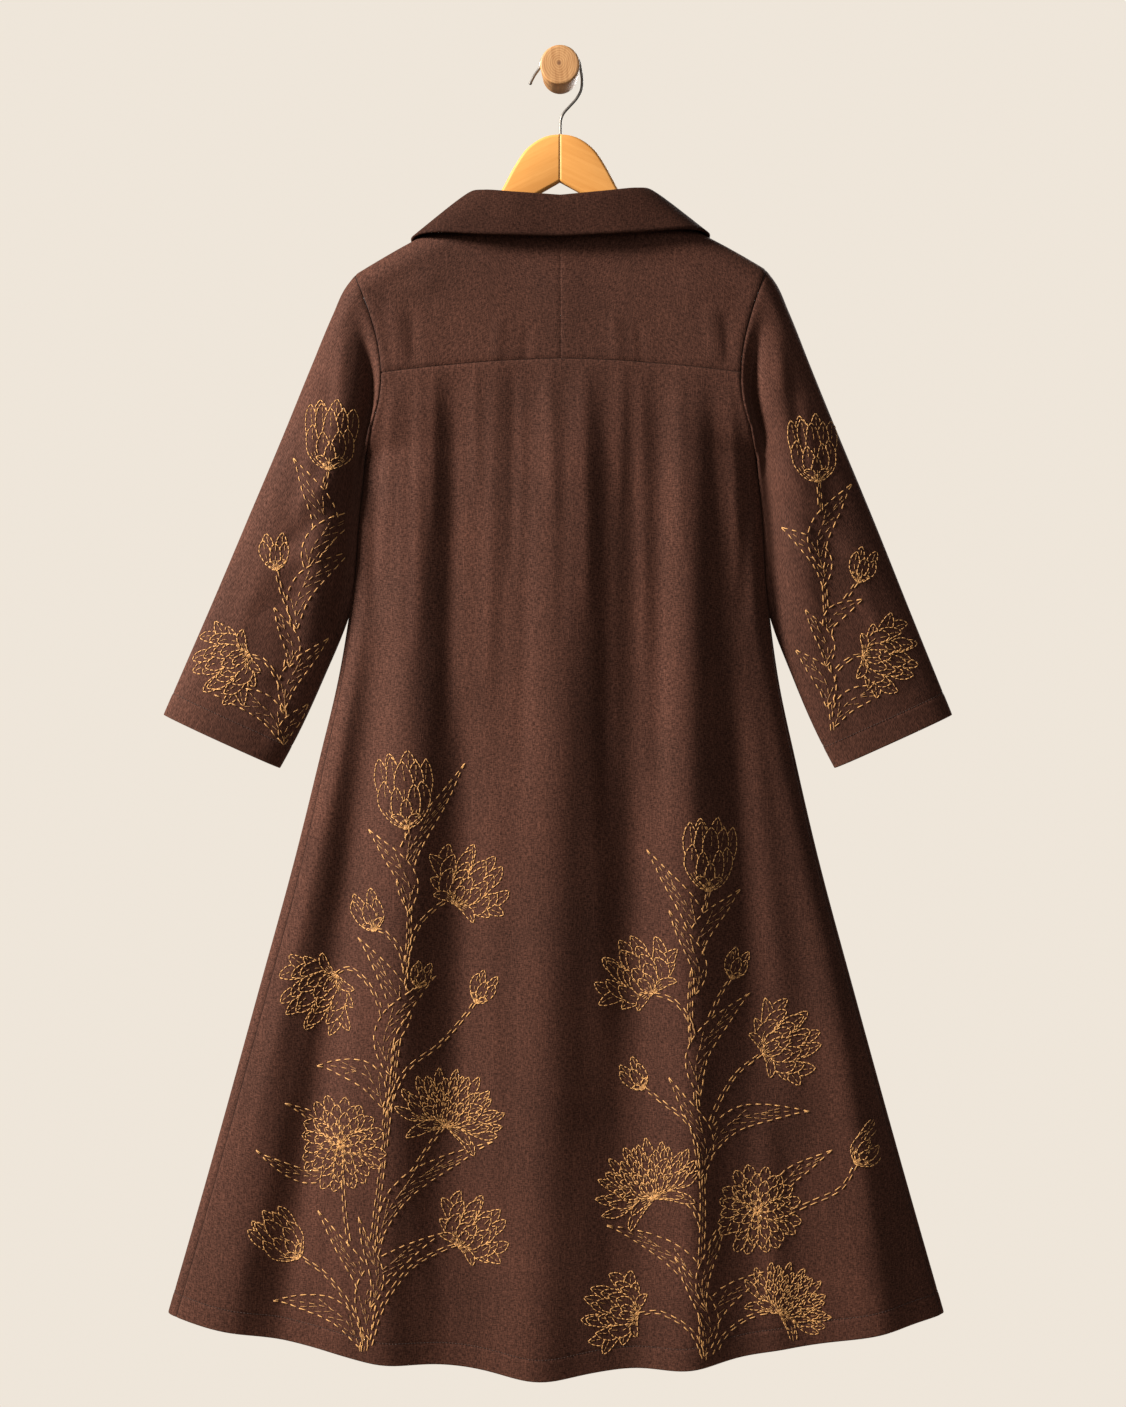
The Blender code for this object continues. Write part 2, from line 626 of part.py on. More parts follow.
def hook_wire(name, material):
    """The wire hook: a round tube on its path, with closed ends."""
    curve = bpy.data.curves.new(name, "CURVE")
    curve.dimensions = "3D"
    curve.bevel_depth = WIRE_RADIUS * MM
    curve.bevel_resolution = 2
    curve.use_fill_caps = True
    path = hook_path()
    line = curve.splines.new("POLY")
    line.points.add(len(path) - 1)
    for point, (x, z) in zip(line.points, path):
        point.co = (x * MM, HANG_Y * MM, z * MM, 1.0)
    curve.materials.append(material)
    return bpy.data.objects.new(name, curve)


def wall_peg(name, material):
    """The round peg: a turned profile about its own axis, its back face flat on the wall."""
    profile = [(0.0, PEG_LENGTH), (PEG_FRONT_RADIUS - 1.5, PEG_LENGTH),
               (PEG_FRONT_RADIUS - 0.4, PEG_LENGTH - 0.5), (PEG_FRONT_RADIUS, PEG_LENGTH - 1.6),
               (PEG_BACK_RADIUS, 0.0), (0.0, 0.0)]
    mesh = bpy.data.meshes.new(name)
    points = [(radius * MM, 0.0, out * MM) for radius, out in profile]
    mesh.from_pydata(points, [(k, k + 1) for k in range(len(points) - 1)], [])
    mesh.materials.append(material)
    peg = bpy.data.objects.new(name, mesh)
    turn = peg.modifiers.new("turn", "SCREW")
    turn.axis = "Z"
    turn.steps = 36
    turn.render_steps = 36
    turn.use_merge_vertices = True
    turn.merge_threshold = 0.00001
    peg.rotation_euler = (math.pi / 2, 0.0, 0.0)
    return peg


def shank_cutter(collection):
    """The drill that makes the shank's hole in both halves of the hanger."""
    bpy.ops.mesh.primitive_cylinder_add(
        vertices=16, radius=(WIRE_RADIUS + SHANK_CLEARANCE) * MM, depth=60 * MM,
        location=(0.5 * MM, HANG_Y * MM, -(WOOD_TOP_DROP + SHANK_DEPTH + 0.4 - 30) * MM))
    drill = bpy.context.object
    drill.name = "shank_drill"
    for other in list(drill.users_collection):
        other.objects.unlink(drill)
    collection.objects.link(drill)
    drill.hide_render = True
    drill.display_type = "WIRE"
    return drill


def build():
    """Make every piece of the coat, its hanger and the peg."""
    clear_scene()
    scene = bpy.context.scene
    parts = bpy.data.collections.new("coat_on_hanger")
    cutters = bpy.data.collections.new("cutters")
    scene.collection.children.link(parts)
    scene.collection.children.link(cutters)

    def cloth(name):
        return make_material(name, CLOTH_BROWN, 0.85)

    pieces = [
        sheet("back_body", back_grid(), cloth("back_body"), flip=True),
        sheet("back_yoke_left", yoke_grid(-1), cloth("back_yoke_left")),
        sheet("back_yoke_right", yoke_grid(1), cloth("back_yoke_right"), flip=True),
        sheet("front_left", front_grid(-1), cloth("front_left"), flip=True),
        sheet("front_right", front_grid(1), cloth("front_right")),
        sheet("sleeve_left", sleeve_grid(-1), cloth("sleeve_left"), closed=True, flip=True),
        sheet("sleeve_right", sleeve_grid(1), cloth("sleeve_right"), closed=True),
        sheet("collar", collar_grid(), cloth("collar")),
        hook_wire("hanger_hook", make_material("hanger_hook", STEEL, 0.35, 1.0)),
        wall_peg("wall_peg", make_material("wall_peg", PEG_WOOD, 0.55)),
    ]
    for piece in pieces:
        parts.objects.link(piece)

    drill = shank_cutter(cutters)
    for name, hand in (("hanger_left", -1), ("hanger_right", 1)):
        board = hanger_half(name, hand, make_material(name, HANGER_WOOD, 0.4))
        piece = as_mesh(board, name, parts)
        soften = piece.modifiers.new("soften", "BEVEL")
        soften.width = WOOD_ROUND * MM
        soften.segments = 2
        soften.limit_method = "ANGLE"
        soften.angle_limit = math.radians(60)
        bore = piece.modifiers.new("bore", "BOOLEAN")
        bore.object = drill
        bore.operation = "DIFFERENCE"
        bore.solver = "EXACT"


build()
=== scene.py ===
# %% [markdown]
# A long brown coat, seen from its back, hangs on a wooden hanger over a round wall peg. Gold
# running stitches draw flowering sprays on its skirt and sleeves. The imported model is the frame
# for all that follows: its origin is the middle of the peg's back face on the wall, X runs to the
# viewer's right, Y goes into the wall and Z is up. Sizes are in millimetres, and a "drop" is a
# distance straight down from the peg. Each finer piece follows the formulas that gave the solids
# their shape, so that nothing has to be fitted afterwards.

import bpy
import numpy as np
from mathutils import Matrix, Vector


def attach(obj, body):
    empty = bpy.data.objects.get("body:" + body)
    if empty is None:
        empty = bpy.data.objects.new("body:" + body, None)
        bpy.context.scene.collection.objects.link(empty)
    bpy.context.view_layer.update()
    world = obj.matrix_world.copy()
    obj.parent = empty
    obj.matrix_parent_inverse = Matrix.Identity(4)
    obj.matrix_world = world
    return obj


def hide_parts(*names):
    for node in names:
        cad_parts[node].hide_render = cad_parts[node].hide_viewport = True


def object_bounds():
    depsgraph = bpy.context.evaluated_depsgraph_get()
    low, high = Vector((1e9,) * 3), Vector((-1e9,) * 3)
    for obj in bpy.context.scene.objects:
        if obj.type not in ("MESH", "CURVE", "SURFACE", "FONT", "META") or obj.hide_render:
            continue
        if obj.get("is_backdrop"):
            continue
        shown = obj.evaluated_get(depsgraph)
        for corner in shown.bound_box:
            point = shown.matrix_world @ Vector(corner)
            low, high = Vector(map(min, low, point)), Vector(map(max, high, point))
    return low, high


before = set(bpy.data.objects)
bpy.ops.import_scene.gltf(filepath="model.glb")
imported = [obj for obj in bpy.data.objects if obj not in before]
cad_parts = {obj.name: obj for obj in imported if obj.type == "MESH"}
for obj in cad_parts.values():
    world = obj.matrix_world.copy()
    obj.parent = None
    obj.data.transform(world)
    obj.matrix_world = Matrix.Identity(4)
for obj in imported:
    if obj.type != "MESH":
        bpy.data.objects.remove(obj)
cad_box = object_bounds()
MM = 0.001
print("nodes:", ", ".join(sorted(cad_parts)))
print("size in mm:", [round((high - low) / MM) for low, high in zip(*cad_box)])

# %% [markdown]
# The picture is taken level with the coat's middle, from far enough away that the coat hardly
# narrows toward its hem. A camera needs only its place, its direction and its lens: the lens
# length follows from how much cloth the picture shows at the distance of the cloth, so the object
# keeps its real size. The long side of the film is the picture's height.

# %% Camera
CAMERA_AT = (0.003, -2.71, -0.6405)
CLOTH_AWAY = 2.65
PICTURE_HIGH = 1.407
FILM = 36.0


def add_object(name, data):
    """A new object of the scene, with its data."""
    made = bpy.data.objects.new(name, data)
    bpy.context.collection.objects.link(made)
    return made


camera = add_object("camera", bpy.data.cameras.new("camera"))
camera.data.sensor_width = FILM
camera.data.lens = FILM * CLOTH_AWAY / PICTURE_HIGH
camera.location = CAMERA_AT
camera.rotation_euler = (np.pi / 2, 0.0, 0.0)
bpy.context.scene.camera = camera
print("lens in mm:", round(camera.data.lens, 1))

# %% [markdown]
# Soft light from the upper left gives each fold a lit side and a shaded side. One large square
# lamp does that, a weaker one opens the shadows on the right, and a third lights the fronts for
# a view from behind. The pale surroundings are a plain world colour: the camera sees it brighter
# than the cloth is lit by it, because a dark coat in even light would look flat.

# %% Lights, surroundings and floor
def soft_light(name, place, aim, side, power, colour):
    """A square area lamp, turned from its place toward the point it lights."""
    lamp = add_object(name, bpy.data.lights.new(name, "AREA"))
    lamp.data.size = side
    lamp.data.energy = power
    lamp.data.color = colour
    lamp.location = place
    lamp.rotation_euler = (lamp.location - Vector(aim)).to_track_quat("Z", "Y").to_euler()


def set_inputs(tree, node, inputs):
    """Link each named or numbered input of a node to a socket, or set it to a value."""
    for key, value in inputs.items():
        if isinstance(value, bpy.types.NodeSocket):
            tree.links.new(value, node.inputs[key])
        else:
            node.inputs[key].default_value = value


def add_node(tree, kind, inputs=None, **settings):
    """A new shader node of a kind, with its options and its inputs."""
    made = tree.nodes.new("ShaderNode" + kind)
    for key, value in settings.items():
        setattr(made, key, value)
    set_inputs(tree, made, inputs or {})
    return made


def principled(name):
    """A new material, with its tree and its Principled node."""
    material = bpy.data.materials.new(name)
    material.use_nodes = True
    return material, material.node_tree, material.node_tree.nodes["Principled BSDF"]


# name, place, aim, side, power, colour
LAMPS = (
    ("key", (-3.0, -1.2, 1.1), (0.0, 0.0, -0.55), 0.9, 350, (1.0, 0.94, 0.86)),
    ("fill", (0.8, -3.4, 0.6), (0.0, 0.0, -0.6), 2.0, 20, (1.0, 0.97, 0.94)),
    ("behind", (1.2, 3.0, 0.9), (0.0, 0.0, -0.7), 2.0, 110, (1.0, 0.97, 0.94)),
)
for lamp_row in LAMPS:
    soft_light(*lamp_row)

world = bpy.data.worlds.new("studio")
world.use_nodes = True
bpy.context.scene.world = world
studio = world.node_tree
shown = add_node(studio, "Background", {"Color": (0.86, 0.79, 0.70, 1), "Strength": 1.0})
lighting = add_node(studio, "Background", {"Color": (0.95, 0.90, 0.84, 1), "Strength": 0.11})
ray = add_node(studio, "LightPath")
both = add_node(studio, "MixShader", {0: ray.outputs["Is Camera Ray"], 1: lighting.outputs[0],
                                      2: shown.outputs[0]})
set_inputs(studio, studio.nodes["World Output"], {"Surface": both.outputs[0]})
bpy.context.scene.view_settings.view_transform = "Standard"

FLOOR_DROP = 1790
FLOOR_HALF = 1150
floor_mesh = bpy.data.meshes.new("floor")
floor_corners = np.array([(-1, -1, 0), (1, -1, 0), (1, 1, 0), (-1, 1, 0)]) * FLOOR_HALF * MM
floor_corners[:, 2] = -FLOOR_DROP * MM
floor_mesh.from_pydata(floor_corners.tolist(), [], [(0, 1, 2, 3)])
floor = add_object("floor", floor_mesh)
floor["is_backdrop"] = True
pale, pale_tree, pale_shader = principled("pale floor")
set_inputs(pale_tree, pale_shader, {"Base Color": (0.34, 0.305, 0.265, 1), "Roughness": 0.9})
floor_mesh.materials.append(pale)

# %% [markdown]
# A garment's outline changes slowly from the shoulder to the hem, so a few measured rows and a
# smooth curve through them say more than a long list of points. Every function below takes whole
# arrays and gives whole arrays, so one call works out a full grid of cloth.

# %% Curves through short tables
def smooth_table(rows, at, column):
    """Read a column at the values `at`: a cubic between each two rows, with the rows' mean slopes."""
    keys = np.array([row[0] for row in rows], float)
    values = np.array([row[column] for row in rows], float)
    steps = np.diff(keys)
    slopes = np.diff(values) / steps
    tangents = np.empty_like(values)
    tangents[0] = slopes[0]
    tangents[-1] = slopes[-1]
    tangents[1:-1] = (slopes[:-1] * steps[1:] + slopes[1:] * steps[:-1]) / (steps[:-1] + steps[1:])
    at = np.clip(np.asarray(at, float), keys[0], keys[-1])
    k = np.clip(np.searchsorted(keys, at, side="right") - 1, 0, len(steps) - 1)
    h = steps[k]
    t = (at - keys[k]) / h
    return ((2 * t**3 - 3 * t**2 + 1) * values[k] + (t**3 - 2 * t**2 + t) * h * tangents[k]
            + (-2 * t**3 + 3 * t**2) * values[k + 1] + (t**3 - t**2) * h * tangents[k + 1])


def smooth_points(rows, at, columns):
    """Several columns read at once, as the coordinates of points."""
    return np.stack([smooth_table(rows, at, column) for column in columns], axis=-1)


def running(steps):
    """How far each point of a line is along it, from the steps between the points."""
    return np.concatenate([[0.0], np.cumsum(steps)])


def unit(vectors):
    """Vectors brought to length 1."""
    return vectors / np.maximum(np.linalg.norm(vectors, axis=-1, keepdims=True), 1e-12)


def ease(t):
    """Rise smoothly from 0 to 1: 3t² − 2t³."""
    t = np.clip(t, 0.0, 1.0)
    return t * t * (3 - 2 * t)


def round_over(t):
    """A quarter circle from 0 to 1: the root of 1 − (1 − t)²."""
    t = np.clip(t, 0.0, 1.0)
    return np.sqrt(1 - (1 - t) ** 2)


print("at a quarter, ease:", float(ease(0.25)), "round_over:", round(float(round_over(0.25)), 3))

# %% [markdown]
# The coat's cut: a flat, slightly rounded body that flares from the underarm to the hem, hung
# from the shoulder ridge. The tables hold what a tailor would measure on the hanging coat. The
# corner column says how square the body's section is, as in the formula of a superellipse.

# %% Sizes of the body
CLOTH = 2.0
HANG_Y = -33.0
RIDGE_ROUND = 26.0
RIDGE_BOW = 4.0
TILT = 2.0
NECK_HALF = 80.0
NECK_SIDE_DROP = 142.0
BACK_NECK_DROP = 160.0
FRONT_NECK_DROP = 226.0
SHOULDER_HALF = 207.0
SHOULDER_DROP = 206.0
UNDERARM_DROP = 391.0
ARMHOLE_ROUND = 60.0
YOKE_EDGE_DROP = 309.0
YOKE_RISE = 14.0
HEM_EDGE_DROP = 1254.0
HEM_SWEEP = 53.0
HEM_FOLD_DIP = 0.45
FRONT_SWEEP = 47.0
ROW_POWER = 1.7
BACK_NECK_POWER = 2.5
FRONT_NECK_POWER = 1.8
SKIRT_SINK = 4.0
FOLD_FADE = 0.12
CREASE_FADE = 0.10
# how far back each side seam lies, by the hand of its side: -1 for the left, 1 for the right
SEAM_INSET = {-1: 9.0, 1: 3.0}

# The middle line leans a little: drop, middle
LEAN = ((140, 0.5), (460, 0.5), (680, -2.5), (1254, -4.0))

# drop, half_width, back_depth, front_depth, corner
BODY = (
    (120, 190, 17, 15, 2.4),
    (206, 192, 20, 15, 2.4),
    (309, 196, 24.5, 16, 2.6),
    (391, 197, 27, 17, 2.6),
    (455, 203, 28.5, 17, 2.6),
    (540, 210, 30, 18, 2.6),
    (615, 221, 31, 18, 2.7),
    (700, 240, 32, 18, 2.8),
    (788, 261, 33, 19, 2.9),
    (940, 302, 35, 19, 3.0),
    (1121, 352, 37, 20, 3.2),
    (1254, 390, 38, 20, 3.2),
    (1330, 412, 38, 20, 3.2),
)

# The armhole seam: drop, half_width
ARMHOLE = ((206, 207), (246, 192), (286, 182), (306, 180), (336, 182), (366, 190), (391, 196))

# Long folds: x at the yoke seam, x at the hem, height there and there, half width there and there
BACK_FOLDS = (
    (-205, -352, 0, 9, 25, 38),
    (-140, -176, 4, 15, 26, 42),
    (6, -18, 5, 18, 44, 48),
    (138, 134, 4, 15, 26, 40),
    (215, 318, 2, 12, 26, 42),
)
FRONT_FOLDS = (
    (-150, -290, 2, 8, 24, 40),
    (-90, -120, 2, 9, 24, 42),
    (84, 105, 2, 9, 24, 44),
    (160, 275, 2, 8, 24, 40),
)
print("hem width in mm:", 2 * smooth_table(BODY, HEM_EDGE_DROP, 1))

# %% [markdown]
# Between the long folds the cloth has smaller creases: soft pleats that fall from the yoke seam,
# pulls beside the armholes, short wrinkles at the elbows. Real ones are uneven, so each is a row
# of its own, placed on a straight run with a height above the cloth or a depth below it.
# A crease is highest at the middle of its run and fades toward both ends and both sides.

# %% Creases, listed one by one
# x and drop of one end, x and drop of the other end, half width, height (below 0 for a trough)
BACK_CREASES = (
    (-138, 290, -170, 1340, 22, 4.0), (-106, 290, -100, 1150, 24, -4.0), (12, 290, -14, 1340, 36, 5.0),
    (76, 290, 62, 1250, 22, -4.2), (124, 290, 140, 1340, 18, 4.5), (156, 330, 205, 1250, 17, -3.8),
    (165, 380, 303, 980, 16, 3.2), (285, 860, 336, 1340, 20, 3.0), (-186, 480, -346, 1400, 22, 6.4),
    (-170, 450, -290, 1400, 24, -7.0), (40, 1060, 44, 1400, 30, 5.0), (186, 950, 232, 1400, 26, 4.5),
    (-196, 900, -224, 1400, 24, 4.5), (-168, 318, -178, 520, 8, 1.6), (-150, 312, -152, 600, 7, -1.5),
    (-126, 306, -128, 480, 6, 1.2), (-108, 306, -112, 690, 9, -1.9), (-86, 303, -84, 440, 6, 1.1),
    (-66, 300, -70, 640, 8, 1.5), (-47, 299, -48, 520, 6, -1.5), (-30, 298, -36, 760, 8, -1.3),
    (-12, 299, -8, 460, 6, 1.3), (6, 302, 2, 590, 7, -1.2), (24, 298, 27, 560, 7, 1.6),
    (43, 299, 48, 800, 9, -2.1), (62, 300, 60, 450, 6, 1.1), (80, 301, 86, 620, 7, 1.5),
    (98, 304, 102, 760, 9, -1.9), (118, 306, 120, 500, 6, 1.0), (150, 312, 158, 640, 8, -1.6),
    (170, 318, 180, 540, 7, 1.4), (-120, 560, -150, 1010, 14, 2.0), (-90, 620, -108, 1120, 16, -2.2),
    (-60, 700, -62, 1180, 13, 1.5), (40, 660, 50, 1090, 15, 1.6), (78, 700, 92, 1160, 16, -2.4),
    (112, 560, 116, 980, 12, 1.4), (170, 640, 212, 1060, 14, -2.0), (190, 600, 245, 1120, 13, 1.8),
    (-180, 640, -235, 1090, 14, -2.2), (-196, 560, -262, 1060, 12, 1.8),
    (-225, 820, -318, 1190, 14, -1.8), (228, 800, 300, 1180, 15, -1.6),
    (-150, 1040, -128, 1290, 12, 1.6), (-222, 1060, -262, 1280, 12, 1.8), (62, 1080, 72, 1300, 12, 1.4),
    (205, 1040, 222, 1290, 13, 1.6), (-168, 235, -160, 306, 9, 1.4), (-150, 246, -146, 300, 6, -1.0),
    (-60, 250, -66, 302, 6, 0.7), (-34, 262, -36, 300, 5, -0.7), (52, 248, 58, 300, 6, 0.8),
    (78, 258, 82, 304, 5, -0.7), (150, 240, 156, 300, 9, 1.3), (164, 250, 170, 302, 6, -1.0),
    (-120, 214, -175, 228, 10, 0.9), (118, 216, 174, 232, 10, 0.9), (-190, 420, -184, 560, 9, -2.0),
    (188, 420, 184, 560, 9, -2.0),
)
FRONT_CREASES = (
    (-150, 330, -168, 620, 9, 1.6), (-118, 300, -130, 560, 8, -1.5), (-70, 290, -76, 700, 10, 1.7),
    (-40, 420, -46, 900, 12, -1.6), (38, 380, 44, 860, 12, 1.5), (74, 300, 84, 660, 9, -1.6),
    (112, 290, 122, 560, 8, 1.5), (150, 340, 170, 640, 9, -1.6), (-200, 700, -262, 1140, 14, 2.0),
    (-150, 760, -170, 1190, 13, -1.9), (-60, 820, -66, 1220, 14, 1.7), (64, 800, 76, 1200, 14, -1.8),
    (156, 740, 190, 1180, 13, 1.8), (210, 700, 268, 1120, 14, -2.0), (-165, 232, -158, 310, 9, 1.2),
    (154, 236, 160, 312, 9, 1.2),
)
# The same for the sleeves' back and front sides, with x counted outward from the coat's middle
SLEEVE_BACK_CREASES = (
    (214, 262, 226, 330, 7, 1.6), (228, 300, 244, 420, 8, -1.8), (243, 330, 262, 470, 7, 1.8),
    (212, 400, 272, 452, 8, 1.6), (216, 432, 286, 492, 8, -1.7), (222, 470, 300, 520, 8, 1.5),
    (232, 520, 318, 556, 9, -1.2), (262, 600, 352, 622, 10, 1.2), (286, 470, 336, 610, 10, 1.5),
    (262, 560, 300, 690, 10, -1.4),
)
SLEEVE_FRONT_CREASES = (
    (216, 280, 232, 400, 8, 1.6), (236, 320, 262, 470, 8, -1.6), (214, 420, 280, 470, 9, 1.6),
    (226, 470, 306, 520, 9, -1.5), (250, 540, 330, 570, 10, 1.2), (286, 520, 330, 660, 10, 1.3),
)


def crease_height(rows, x, drop):
    """Sum of the rows: height × (1 − (2s − 1)⁴) × exp(−(off ÷ half width)²), where s is the share
    of the run at the place's foot on it and off is the distance to the run."""
    x0, d0, x1, d1, half, high = np.array(rows, float).T
    run = np.hypot(x1 - x0, d1 - d0)
    from_x = x[..., None] - x0
    from_d = drop[..., None] - d0
    share = (from_x * (x1 - x0) + from_d * (d1 - d0)) / run**2
    off = (from_x * (d1 - d0) - from_d * (x1 - x0)) / run
    swell = np.clip(1 - (2 * share - 1) ** 4, 0, 1)
    return np.sum(high * swell * np.exp(-((off / half) ** 2)), axis=-1)


def slack(x, drop):
    """The unevenness of hand-hung cloth: a few slow waves of 0.2 to 0.3 mm, not in step."""
    return (0.30 * np.sin(x / 19.0 + 1.7 * np.sin(drop / 97.0))
            + 0.22 * np.sin(x / 11.0 - drop / 61.0 + 1.1 * np.sin(drop / 43.0))
            + 0.20 * np.sin(drop / 27.0 + 1.3 * np.sin(x / 31.0)))


print("creases:", [len(rows) for rows in (BACK_CREASES, FRONT_CREASES, SLEEVE_BACK_CREASES,
                                         SLEEVE_FRONT_CREASES)])

# %% [markdown]
# The body is one flat tube: its back and its fronts meet at the side seams. Each place on it is
# given by how far across it lies, as a share of the half width, and by the drop of its row at
# the side's edge. Rows bow up at the yoke seam and down at the hem, as cloth rows on a flared
# coat do. This is a surface of two parameters, so a grid of them is a whole panel.

# %% The body's cloth as a formula
def shoulder_drop(x):
    """The shoulder ridge: a straight slope from the neck, bowed up by RIDGE_BOW at its middle."""
    slope = (SHOULDER_DROP - NECK_SIDE_DROP) / (SHOULDER_HALF - NECK_HALF)
    share = np.clip((np.abs(x) - NECK_HALF) / (SHOULDER_HALF - NECK_HALF), 0, 1)
    return NECK_SIDE_DROP + slope * (np.abs(x) - NECK_HALF) - RIDGE_BOW * np.sin(np.pi * share)


def top_drop(x, neck_drop, power):
    """A panel's upper edge: neck drop − rise × (|x| ÷ half neck)^power, then the shoulder ridge."""
    inside = np.clip(np.abs(x) / NECK_HALF, 0, 1) ** power
    neck = neck_drop - (neck_drop - NECK_SIDE_DROP) * inside
    return np.where(np.abs(x) < NECK_HALF, neck, shoulder_drop(x))


def body_half_width(drop):
    """The armhole's half width above the underarm, and the side line's below it."""
    return np.where(drop < UNDERARM_DROP, smooth_table(ARMHOLE, drop, 1), smooth_table(BODY, drop, 1))


def fold_height(folds, x, drop):
    """A Gauss bell across each long fold, which moves, grows and widens down the coat."""
    run = np.clip((drop - YOKE_EDGE_DROP) / (HEM_EDGE_DROP - YOKE_EDGE_DROP), 0.0, 1.1)
    total = 0.0
    for x_top, x_hem, high_top, high_hem, half_top, half_hem in folds:
        middle = x_top + (x_hem - x_top) * run
        height = high_top + (high_hem - high_top) * run**1.3
        half = half_top + (half_hem - half_top) * run
        total = total + height * np.exp(-(((x - middle) / half) ** 2))
    return total * ease((drop - YOKE_EDGE_DROP + 10) / 120.0)


def cloth_y(x, drop, edge_drop, side):
    """The cloth's depth: hang line + side × (superellipse section × ridge rounding + folds).

    side is -1 for the back and 1 for the front. Folds and creases fade toward the side seams, and
    between its folds the skirt sinks in by SKIRT_SINK.
    """
    depth = smooth_table(BODY, drop, 2 if side < 0 else 3)
    corner = smooth_table(BODY, drop, 4)
    across = np.clip(np.abs(x) / body_half_width(edge_drop), 0.0, 1.0)
    open_edge = round_over((UNDERARM_DROP - edge_drop) / ARMHOLE_ROUND) ** corner
    profile = np.clip(1 - (1 - open_edge) * across**corner, 0.0, 1.0) ** (1 / corner)
    over_ridge = round_over((drop - shoulder_drop(x)) / RIDGE_ROUND)
    lift = fold_height(BACK_FOLDS if side < 0 else FRONT_FOLDS, x, drop)
    lift = lift - SKIRT_SINK * ease((drop - 400) / 600)
    fade = np.clip((1 - across) / FOLD_FADE, 0.0, 1.0) ** 0.5
    fade = np.where(edge_drop < UNDERARM_DROP, 1.0 - (1 - fade) * ease((drop - 330) / 60), fade)
    small = crease_height(BACK_CREASES if side < 0 else FRONT_CREASES, x, drop) + slack(x, drop)
    small = small * ease((1 - across) / CREASE_FADE) * ease((drop - shoulder_drop(x) - 12) / 40)
    return HANG_Y + side * (depth * profile * over_ridge + lift * fade + small)


def cloth_on(behind, x, drop, edge_drop):
    """The cloth's depth on the back where behind is true, and on the front elsewhere."""
    return np.where(behind, cloth_y(x, drop, edge_drop, -1), cloth_y(x, drop, edge_drop, 1))


def sweep(edge_drop, across, x):
    """How far back rows bow: up at the yoke seam, down at the hem, with the hem's own waves."""
    run = ease((edge_drop - YOKE_EDGE_DROP) / (HEM_EDGE_DROP - YOKE_EDGE_DROP))
    bow = -YOKE_RISE * (1 - run) + HEM_SWEEP * run
    waves = HEM_FOLD_DIP * (fold_height(BACK_FOLDS, x, edge_drop + 0 * x) - 6.0) * run**3
    return (bow + waves * np.clip((1 - np.abs(across)) / 0.06, 0, 1)) * (1 - np.abs(across) ** ROW_POWER)


def back_surface(across, edge_drop):
    """A place on the back: across from -1 to 1, edge_drop from the yoke seam to the hem."""
    x = across * body_half_width(edge_drop)
    drop = edge_drop + sweep(edge_drop, across, x)
    return x, cloth_y(x, drop, edge_drop, -1), drop


def front_surface(hand, bend, edge_drop):
    """A place on a front: across = sin(bend), so that past a quarter turn it lies round the side,
    on the back, up to the side seam. hand is -1 for the left and 1 for the right."""
    across = hand * np.sin(bend)
    x = across * body_half_width(edge_drop)
    share = (edge_drop - SHOULDER_DROP) / (HEM_EDGE_DROP - SHOULDER_DROP)
    rise = top_drop(across * SHOULDER_HALF, FRONT_NECK_DROP, FRONT_NECK_POWER) - SHOULDER_DROP
    bow = FRONT_SWEEP * (1 - np.abs(across) ** ROW_POWER)
    in_front = edge_drop + rise * (1 - share) ** 3 + bow * share**2
    behind = bend > np.pi / 2
    drop = np.where(behind, edge_drop + sweep(edge_drop, across, x), in_front)
    return x, cloth_on(behind, x, drop, edge_drop), drop


def yoke_surface(hand, across, share):
    """A place on half of the yoke: share runs from the neckline and ridge to the yoke seam."""
    edge_drop = SHOULDER_DROP + (YOKE_EDGE_DROP - SHOULDER_DROP) * share
    top = top_drop(across * SHOULDER_HALF, BACK_NECK_DROP, BACK_NECK_POWER)
    seam = YOKE_EDGE_DROP - YOKE_RISE * (1 - across**ROW_POWER)
    x = hand * across * body_half_width(edge_drop)
    drop = top + (seam - top) * share
    return x, cloth_y(x, drop, edge_drop, -1), drop


def place(x, y, drop):
    """Millimetres to a point in metres, with the middle line's lean and the shoulders' tilt."""
    tilted = drop - TILT * x / 150.0 * (1 - ease((drop - 180) / 150.0))
    return np.stack([x + smooth_table(LEAN, drop, 1), y + 0 * x, -tilted], axis=-1) * MM


middle_back = place(*back_surface(np.zeros(3), np.array([320.0, 800.0, 1254.0])))
print("middle of the back, yoke to hem, in metres:", middle_back.round(3).tolist())

# %% [markdown]
# A set-in sleeve starts on the armhole seam and narrows into a flat tube. Its two edges are
# tables, and a ring round the arm runs over the back from the outer edge to the inner one and
# returns in front. Near the seam a ring takes the armhole's own shape and eases into its own,
# which leaves the deep valley beside the body that set-in sleeves have when the arms hang.

# %% The sleeves' cloth as a formula
# drop, half width of the outer and of the inner edge
SLEEVE_OUTER = ((206, 207), (218, 216), (246, 229), (300, 251), (364, 277), (455, 315), (540, 350),
                (652, 397))
SLEEVE_INNER = ((391, 197), (455, 203), (540, 210), (615, 238), (677, 266), (705, 281))
# share of the sleeve's length, back depth, front depth
SLEEVE_DEPTH = ((0.0, 22, 15), (0.25, 26, 18), (0.6, 24, 18), (1.0, 20, 16))
SLEEVE_CORNER = 2.3
# shares of the length over which a ring leaves the armhole's outline, and its depth
SEAM_REACH = 0.55
SEAM_DEPTH_REACH = 0.22
VALLEY_DEPTH = 15.0
VALLEY_FROM_SEAM = 8.0
VALLEY_HALF = 11.0
RIDGE_HEIGHT = 4.0
RIDGE_FROM_SEAM = 40.0
RIDGE_HALF = 14.0
UNDERARM_CLEARANCE = 1.0
SLEEVE_GAP = 0.5


